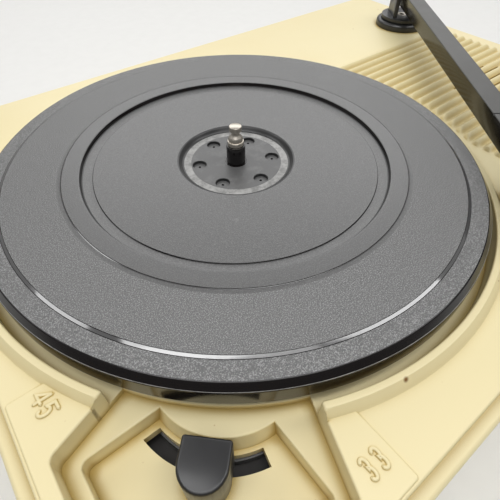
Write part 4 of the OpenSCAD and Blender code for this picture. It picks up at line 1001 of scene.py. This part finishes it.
def make_platter():
    textured, gloss, wear_and_glint, satin, band, fine = range(6)
    zones = [
        (gloss, SLEEVE),
        (gloss, HUB_SEAT),
        (wear_and_glint, HUB_RING),
        (satin, HUB_EDGE),
        (fine, LABEL),
        (gloss, LABEL_EDGE),
        (fine, LABEL_FOOT),
        (satin, LABEL_FILLET),
        (gloss, LABEL_WALL),
        (fine, RING),
        (gloss, RING_EDGE),
        (band, RING_GLINT),
        (fine, RING_SLOPE),
        (textured, RECORD_ZONE),
        (gloss, RIM_INNER_LINE),
        (band, RIM_BAND),
        (gloss, RIM_OUTER_LINE),
        (textured, RIM),
        (gloss, BEVEL),
        (wear_and_glint, PAINTED_EDGE_GLINT),
        (gloss, SKIRT),
        (gloss, SKIRT_FOOT),
        (gloss, UNDERSIDE),
    ]
    stretches = [(material, [(r, RING_Z + z) for r, z in zone]) for material, zone in zones]
    materials = [TEXTURED, GLOSS, WORN_AND_GLINT, SATIN, BAND, FINE]
    return revolve("platter_top", SPINDLE, stretches, materials, PLATTER_STEPS)


place(make_platter(), "turntable", "platter")


# Hub disc

HUB_Z = RING_Z - 3.3
HUB_R = 17.18
HUB_IN_R = 4.22
HUB_T = 0.75
HUB_STEPS = 96
HUB_BORE_STEPS = 48
HUB_HOLE_R = 2.6
HUB_HOLE_EDGE = 0.15
HUB_HOLE_STEPS = 40
HUB_HOLE_COUNT = 6
HUB_HOLES_R = 14.1
HUB_HOLES_TURN = 33
HUB_HOLE_TURNS = [HUB_HOLES_TURN + 360 * i / HUB_HOLE_COUNT for i in range(HUB_HOLE_COUNT)]
HUB_HOLES = [polar(SPINDLE, HUB_HOLES_R, turn) for turn in HUB_HOLE_TURNS]
HUB_PIT = [(0.5, -1.1), (0.35, -1.5)]


def make_hub():
    """The hub disc, whose holes show a floor with a small pit in its middle."""
    disc, wall, pit = range(3)
    shell = Shell()
    outer = shell.level(circle(SPINDLE, HUB_R, HUB_STEPS), HUB_Z)
    inner = shell.level(circle(SPINDLE, HUB_IN_R, HUB_BORE_STEPS), HUB_Z)
    profile = [(HUB_HOLE_R + HUB_HOLE_EDGE, 0), (HUB_HOLE_R, -HUB_HOLE_EDGE), (HUB_HOLE_R - 0.1, -1.2)]
    profile += HUB_PIT
    rims = []
    for c in HUB_HOLES:
        rows = [shell.level(circle(c, r, HUB_HOLE_STEPS), HUB_Z + z) for r, z in profile]
        for a, b, material in zip(rows, rows[1:], (disc, wall, disc, pit)):
            shell.bridge(a, b, material=material)
        shell.bm.faces.new(rows[-1]).material_index = pit
        rims.append(rows[0])
    shell.fill(outer, inner, *rims, material=disc)
    shell.bridge(outer, shell.level(circle(SPINDLE, HUB_R, HUB_STEPS), HUB_Z - HUB_T))
    return shell.finish("hub_plate", [DARK, SATIN, GLOSS])


place(make_hub(), "turntable", "hub_disc")


# Spindle, drawn as (radius, height above the sleeve)

SPINDLE_STEPS = 96
SHAFT_R = 2
SHAFT_FOOT_Z = 50
COLLAR = [(2.9, 0.02), (3.05, 0.17), (3.05, 1.6), (2.92, 1.75), (2.72, 1.8)]
FLANGE = [(2.7, 2.0), (2.75, 2.3), (2.65, 2.9), (2.3, 3.5), (1.6, 4.1)]
NECK = [(1.4, 4.5), (1.4, 5.2), (1.6, 5.55)]
TIP = [(2.15, 5.65), (2.28, 5.78), (2.3, 6.0), (2.3, 7.3), (2.2, 7.55), (1.95, 7.7), (0, 7.7)]


def make_spindle():
    sleeve_z = RING_Z + SLEEVE_RISE
    profile = [(SHAFT_R, SHAFT_FOOT_Z), (SHAFT_R, sleeve_z)]
    profile += [(r, sleeve_z + z) for r, z in COLLAR + FLANGE + NECK + TIP]
    return revolve("spindle_tip", SPINDLE, [(0, profile)], [NICKEL], SPINDLE_STEPS)


place(make_spindle(), "turntable", "spindle_shaft")


# Dials and feet

DIAL_FLUTES = 30
DIAL_FLUTE_STEPS = 8
DIAL_FLUTE_DEPTH = 0.7
DIAL_FLUTE_TOP = 3.2
DIAL_BORE_R = 3.2
DIAL_WALL = 4.5
DIAL_HOLLOW = 3.5
DIAL_FOOT_EDGE = 0.4
DIAL_TOP_BAND = 2.6
DIAL_TOP_EDGE_R = 1.2
DIAL_RIM_W = 2.2
DIAL_DISH_SLOPE = 0.6
DIAL_DISH = 0.3
DIAL_LINE_FROM = 8
DIAL_LINE_TO = 3.6
FOOT_R = 9
FOOT_STEPS = 64


def make_dial(name, node):
    """A fluted dial with a dished top and a raised pointer line."""
    low, high = box_mm(node)
    centre = Vector(((low.x + high.x) / 2, (low.y + high.y) / 2))
    r = (high.x - low.x) / 2
    hollow_r = r - DIAL_WALL
    dish_r = r - DIAL_RIM_W
    count = DIAL_FLUTES * DIAL_FLUTE_STEPS
    shell = Shell()

    def fluted(radius, z, depth=0.0):
        points = []
        for i in range(count):
            dip = max(0.0, math.cos(math.tau * i * DIAL_FLUTES / count)) ** 2
            points.append(polar(centre, radius - depth * dip, 360 * i / count))
        return shell.level(points, z)

    rows = [fluted(DIAL_BORE_R, low.z + DIAL_HOLLOW), fluted(hollow_r, low.z + DIAL_HOLLOW)]
    rows += [fluted(hollow_r, low.z), fluted(r - DIAL_FOOT_EDGE, low.z)]
    for z in (low.z + DIAL_FOOT_EDGE, high.z - DIAL_FLUTE_TOP):
        rows.append(fluted(r, z, DIAL_FLUTE_DEPTH))
    rows.append(fluted(r, high.z - DIAL_TOP_BAND))
    rows += [fluted(r + d, z) for d, z in round_over(high.z, DIAL_TOP_EDGE_R, -1)]
    rows += [fluted(dish_r, high.z), fluted(dish_r - DIAL_DISH_SLOPE, high.z - DIAL_DISH)]
    for a, b in zip(rows, rows[1:]):
        shell.bridge(a, b)
    shell.bm.faces.new(rows[-1])
    line = [centre + Vector((0, r - inset)) for inset in (DIAL_LINE_FROM, DIAL_LINE_TO)]
    add_bead(shell, line, high.z - DIAL_DISH, 1)
    return shell.finish(name, [SATIN, CREAM])


place(make_dial("volume_knob", "volume_dial"), "volume", "volume_dial")
place(make_dial("tone_knob", "tone_dial"), "tone", "tone_dial")


def make_feet():
    low, high = box_mm("feet")
    profile = [(0, 0.0), (FOOT_R - 2, 0.0), (FOOT_R - 1, 0.25), (FOOT_R - 0.5, 1.0), (FOOT_R, high.z)]
    profile.append((0, high.z))
    shell = Shell()
    for x in (low.x + FOOT_R, high.x - FOOT_R):
        for y in (low.y + FOOT_R, high.y - FOOT_R):
            add_turned(shell, Vector((x, y)), [(0, profile)], FOOT_STEPS)
    return shell.finish("foot_pads", [RUBBER])


place(make_feet(), "base", "feet")


# Pick-up arm, a channel whose sides draw in towards its foot

ARM_LOW, ARM_HIGH = box_mm("arm_tube")
SHAFT_LOW, SHAFT_HIGH = box_mm("swing_shaft")
REST_LOW, REST_HIGH = box_mm("arm_rest")
PIVOT = (SHAFT_LOW + SHAFT_HIGH).xy / 2
ARM_RUN = ((REST_LOW + REST_HIGH).xy / 2 - PIVOT).normalized()
ARM_SIDE = Vector((ARM_RUN.y, -ARM_RUN.x))
ARM_HALF_W = 4.5
ARM_WALL = 1.5
ARM_LEAN_TOP = math.tan(math.radians(2))
ARM_LEAN_FOOT = math.tan(math.radians(14))
ARM_SIDE_STEPS = 6
ARM_EDGE_R = 0.4
ARM_START = (ARM_HIGH.x - ARM_HALF_W * abs(ARM_SIDE.x) - PIVOT.x) / ARM_RUN.x
ARM_END = (ARM_LOW.x + ARM_HALF_W * abs(ARM_SIDE.x) - PIVOT.x) / ARM_RUN.x
GROOVE_FROM_END = 16.2
GROOVE_AT = ARM_END - GROOVE_FROM_END
GROOVE = 0.6
GROOVE_SLOPE = 0.1


def arm_section(drop):
    """Half of the channel's section as (across, z): down inside, round the foot and up to the top.

    The drop lowers its top, for the groove.
    """
    brow = ARM_HIGH.z - drop - ARM_EDGE_R
    outside = []
    for k in range(ARM_SIDE_STEPS):
        z = ARM_LOW.z + (brow - ARM_LOW.z) * k / ARM_SIDE_STEPS
        down = (ARM_HIGH.z - z) / (ARM_HIGH.z - ARM_LOW.z)
        lean = ARM_LEAN_TOP + (ARM_LEAN_FOOT - ARM_LEAN_TOP) * down / 2
        outside.append((ARM_HALF_W - lean * (ARM_HIGH.z - z), z))
    inside = [(ARM_HALF_W - ARM_WALL, ARM_HIGH.z - ARM_WALL), (outside[0][0] - ARM_WALL, ARM_LOW.z)]
    edge = [(ARM_HALF_W - d, z) for d, z in round_over(ARM_HIGH.z - drop, ARM_EDGE_R, 1, steps=3)]
    return inside + outside + edge


def make_arm_tube():
    side, top = range(2)
    shell = Shell()
    groove_end = GROOVE_AT + GROOVE
    stations = [(ARM_START, 0), (GROOVE_AT - GROOVE_SLOPE, 0), (GROOVE_AT, GROOVE)]
    stations += [(groove_end, GROOVE), (groove_end + GROOVE_SLOPE, 0), (ARM_END, 0)]
    rows = []
    for at, drop in stations:
        half = arm_section(drop)
        section = half + [(-x, z) for x, z in reversed(half)]
        middle = PIVOT + ARM_RUN * at
        rows.append(shell.row([(*(middle + ARM_SIDE * x), z) for x, z in section]))
    for a, b in zip(rows, rows[1:]):
        shell.bridge(a, b, material=side)
    for end in (rows[0], rows[-1]):
        shell.bm.faces.new(end).material_index = side
    # The top faces take the lighter material: painted sheen
    top_from = (ARM_HIGH.z - GROOVE - ARM_EDGE_R / 2) * MM
    for f in shell.bm.faces:
        if min(v.co.z for v in f.verts) > top_from:
            f.material_index = top
    return shell.finish("arm_channel", [ARM, ARM_TOP_SHEEN])


place(make_arm_tube(), "arm", "arm_tube")


# The other pieces keep their CAD shape with softer edges

for node, width, body, slot, *finish in (
    ("lower_case", 1.2, "base", "cream_plastic", CREAM),
    # The head shell's top faces take the arm's painted top sheen
    ("head_shell", 0.45, "arm", "black_textured", ARM, ARM_TOP_SHEEN),
    ("arm_yoke", 0.5, "arm_swivel", "black_gloss", SATIN),
    ("arm_base", 0.4, "base", "black_gloss", SATIN),
    ("arm_rest", 0.4, "base", "black_textured", ARM),
    ("lever_knob", 0.8, "lever", "black_gloss", SATIN),
    ("mains_inlet", 0.4, "base", "dark_plastic", DARK),
    ("cartridge", 0.4, "arm", "dark_plastic", DARK),
):
    place(softened(node, width, *finish), body, node)


# Stage, light and camera

FLOOR_REACH = 3.0


def make_floor():
    r = FLOOR_REACH
    mesh = bpy.data.meshes.new("floor")
    mesh.from_pydata([(-r, -r, 0), (r, -r, 0), (r, r, 0), (-r, r, 0)], [], [(0, 1, 2, 3)])
    mesh.materials.append(make_plain("floor", (0.80, 0.795, 0.775), 0.6, shade=0.98))
    floor = bpy.data.objects.new("floor", mesh)
    bpy.context.scene.collection.objects.link(floor)


make_floor()

# The room is dim low behind the photographer and bright above and ahead
AHEAD = Vector((0.5, 0.62, 0.6))
ROOM_DIM = 0.12
ROOM_BRIGHT = 0.30
ROOM_SPREAD = 0.5


def make_room():
    world = bpy.data.worlds.new("room")
    world.use_nodes = True
    tree = world.node_tree
    direction = tree.nodes.new("ShaderNodeTexCoord")
    ahead = tree.nodes.new("ShaderNodeVectorMath")
    ahead.operation = "DOT_PRODUCT"
    ahead.inputs[1].default_value = AHEAD
    glow = tree.nodes.new("ShaderNodeMapRange")
    glow.inputs["From Min"].default_value = -ROOM_SPREAD
    glow.inputs["From Max"].default_value = ROOM_SPREAD
    glow.inputs["To Min"].default_value = ROOM_DIM
    glow.inputs["To Max"].default_value = ROOM_BRIGHT
    background = tree.nodes["Background"]
    background.inputs["Color"].default_value = rgb(1.0, 0.99, 0.97)
    tree.links.new(direction.outputs["Generated"], ahead.inputs[0])
    tree.links.new(ahead.outputs["Value"], glow.inputs["Value"])
    tree.links.new(glow.outputs["Result"], background.inputs["Strength"])
    bpy.context.scene.world = world


make_room()


def add_softbox(name, position, along, size, radiance):
    """A rectangular light at a position in metres from the platter's middle, which it faces.

    Its long side runs level towards the azimuth along.
    """
    away = Vector(position)
    light = bpy.data.lights.new(name, "AREA")
    light.shape = "RECTANGLE"
    light.size, light.size_y = size
    light.energy = radiance * math.pi * size[0] * size[1]
    back = away.normalized()
    run = polar(Vector((0, 0)), 1, along).to_3d()
    run = (run - back * run.dot(back)).normalized()
    obj = bpy.data.objects.new(name, light)
    turn = Matrix((run, back.cross(run), back)).transposed().to_4x4()
    obj.matrix_world = Matrix.Translation(Vector((*SPINDLE, RING_Z)) * MM + away) @ turn
    bpy.context.scene.collection.objects.link(obj)


add_softbox("window", (0.71, 0.90, 0.80), -38, (1.7, 0.8), 1.75)
add_softbox("ceiling_tube", (0.145, -0.244, 1.2), -26, (2.2, 0.31), 4.6)
add_softbox("ceiling", (-0.35, -0.45, 1.1), -38, (1.2, 0.7), 1.8)
add_softbox("left_lamp", (-0.56, 0.71, 0.93), 38, (0.6, 0.35), 3.6)

bpy.context.scene.view_settings.view_transform = "Standard"

# The photograph's camera: place in metres, roll in radians, lens in millimetres
EYE = Vector((-0.12658, -0.10540, 0.17760))
FORWARD = Vector((0.41448, 0.52283, -0.7449)).normalized()
ROLL = 0.0044
LENS = 29.296
SENSOR_W = 36


def add_camera():
    data = bpy.data.cameras.new("camera")
    data.sensor_width = SENSOR_W
    data.lens = LENS
    data.clip_start = 0.005
    camera = bpy.data.objects.new("camera", data)
    right = FORWARD.cross(Vector((0, 0, 1))).normalized()
    up = right.cross(FORWARD)
    tilted_right = right * math.cos(ROLL) + up * math.sin(ROLL)
    tilted_up = up * math.cos(ROLL) - right * math.sin(ROLL)
    turn = Matrix((tilted_right, tilted_up, -FORWARD)).transposed().to_4x4()
    camera.matrix_world = Matrix.Translation(EYE) @ turn
    bpy.context.scene.collection.objects.link(camera)
    bpy.context.scene.camera = camera


add_camera()
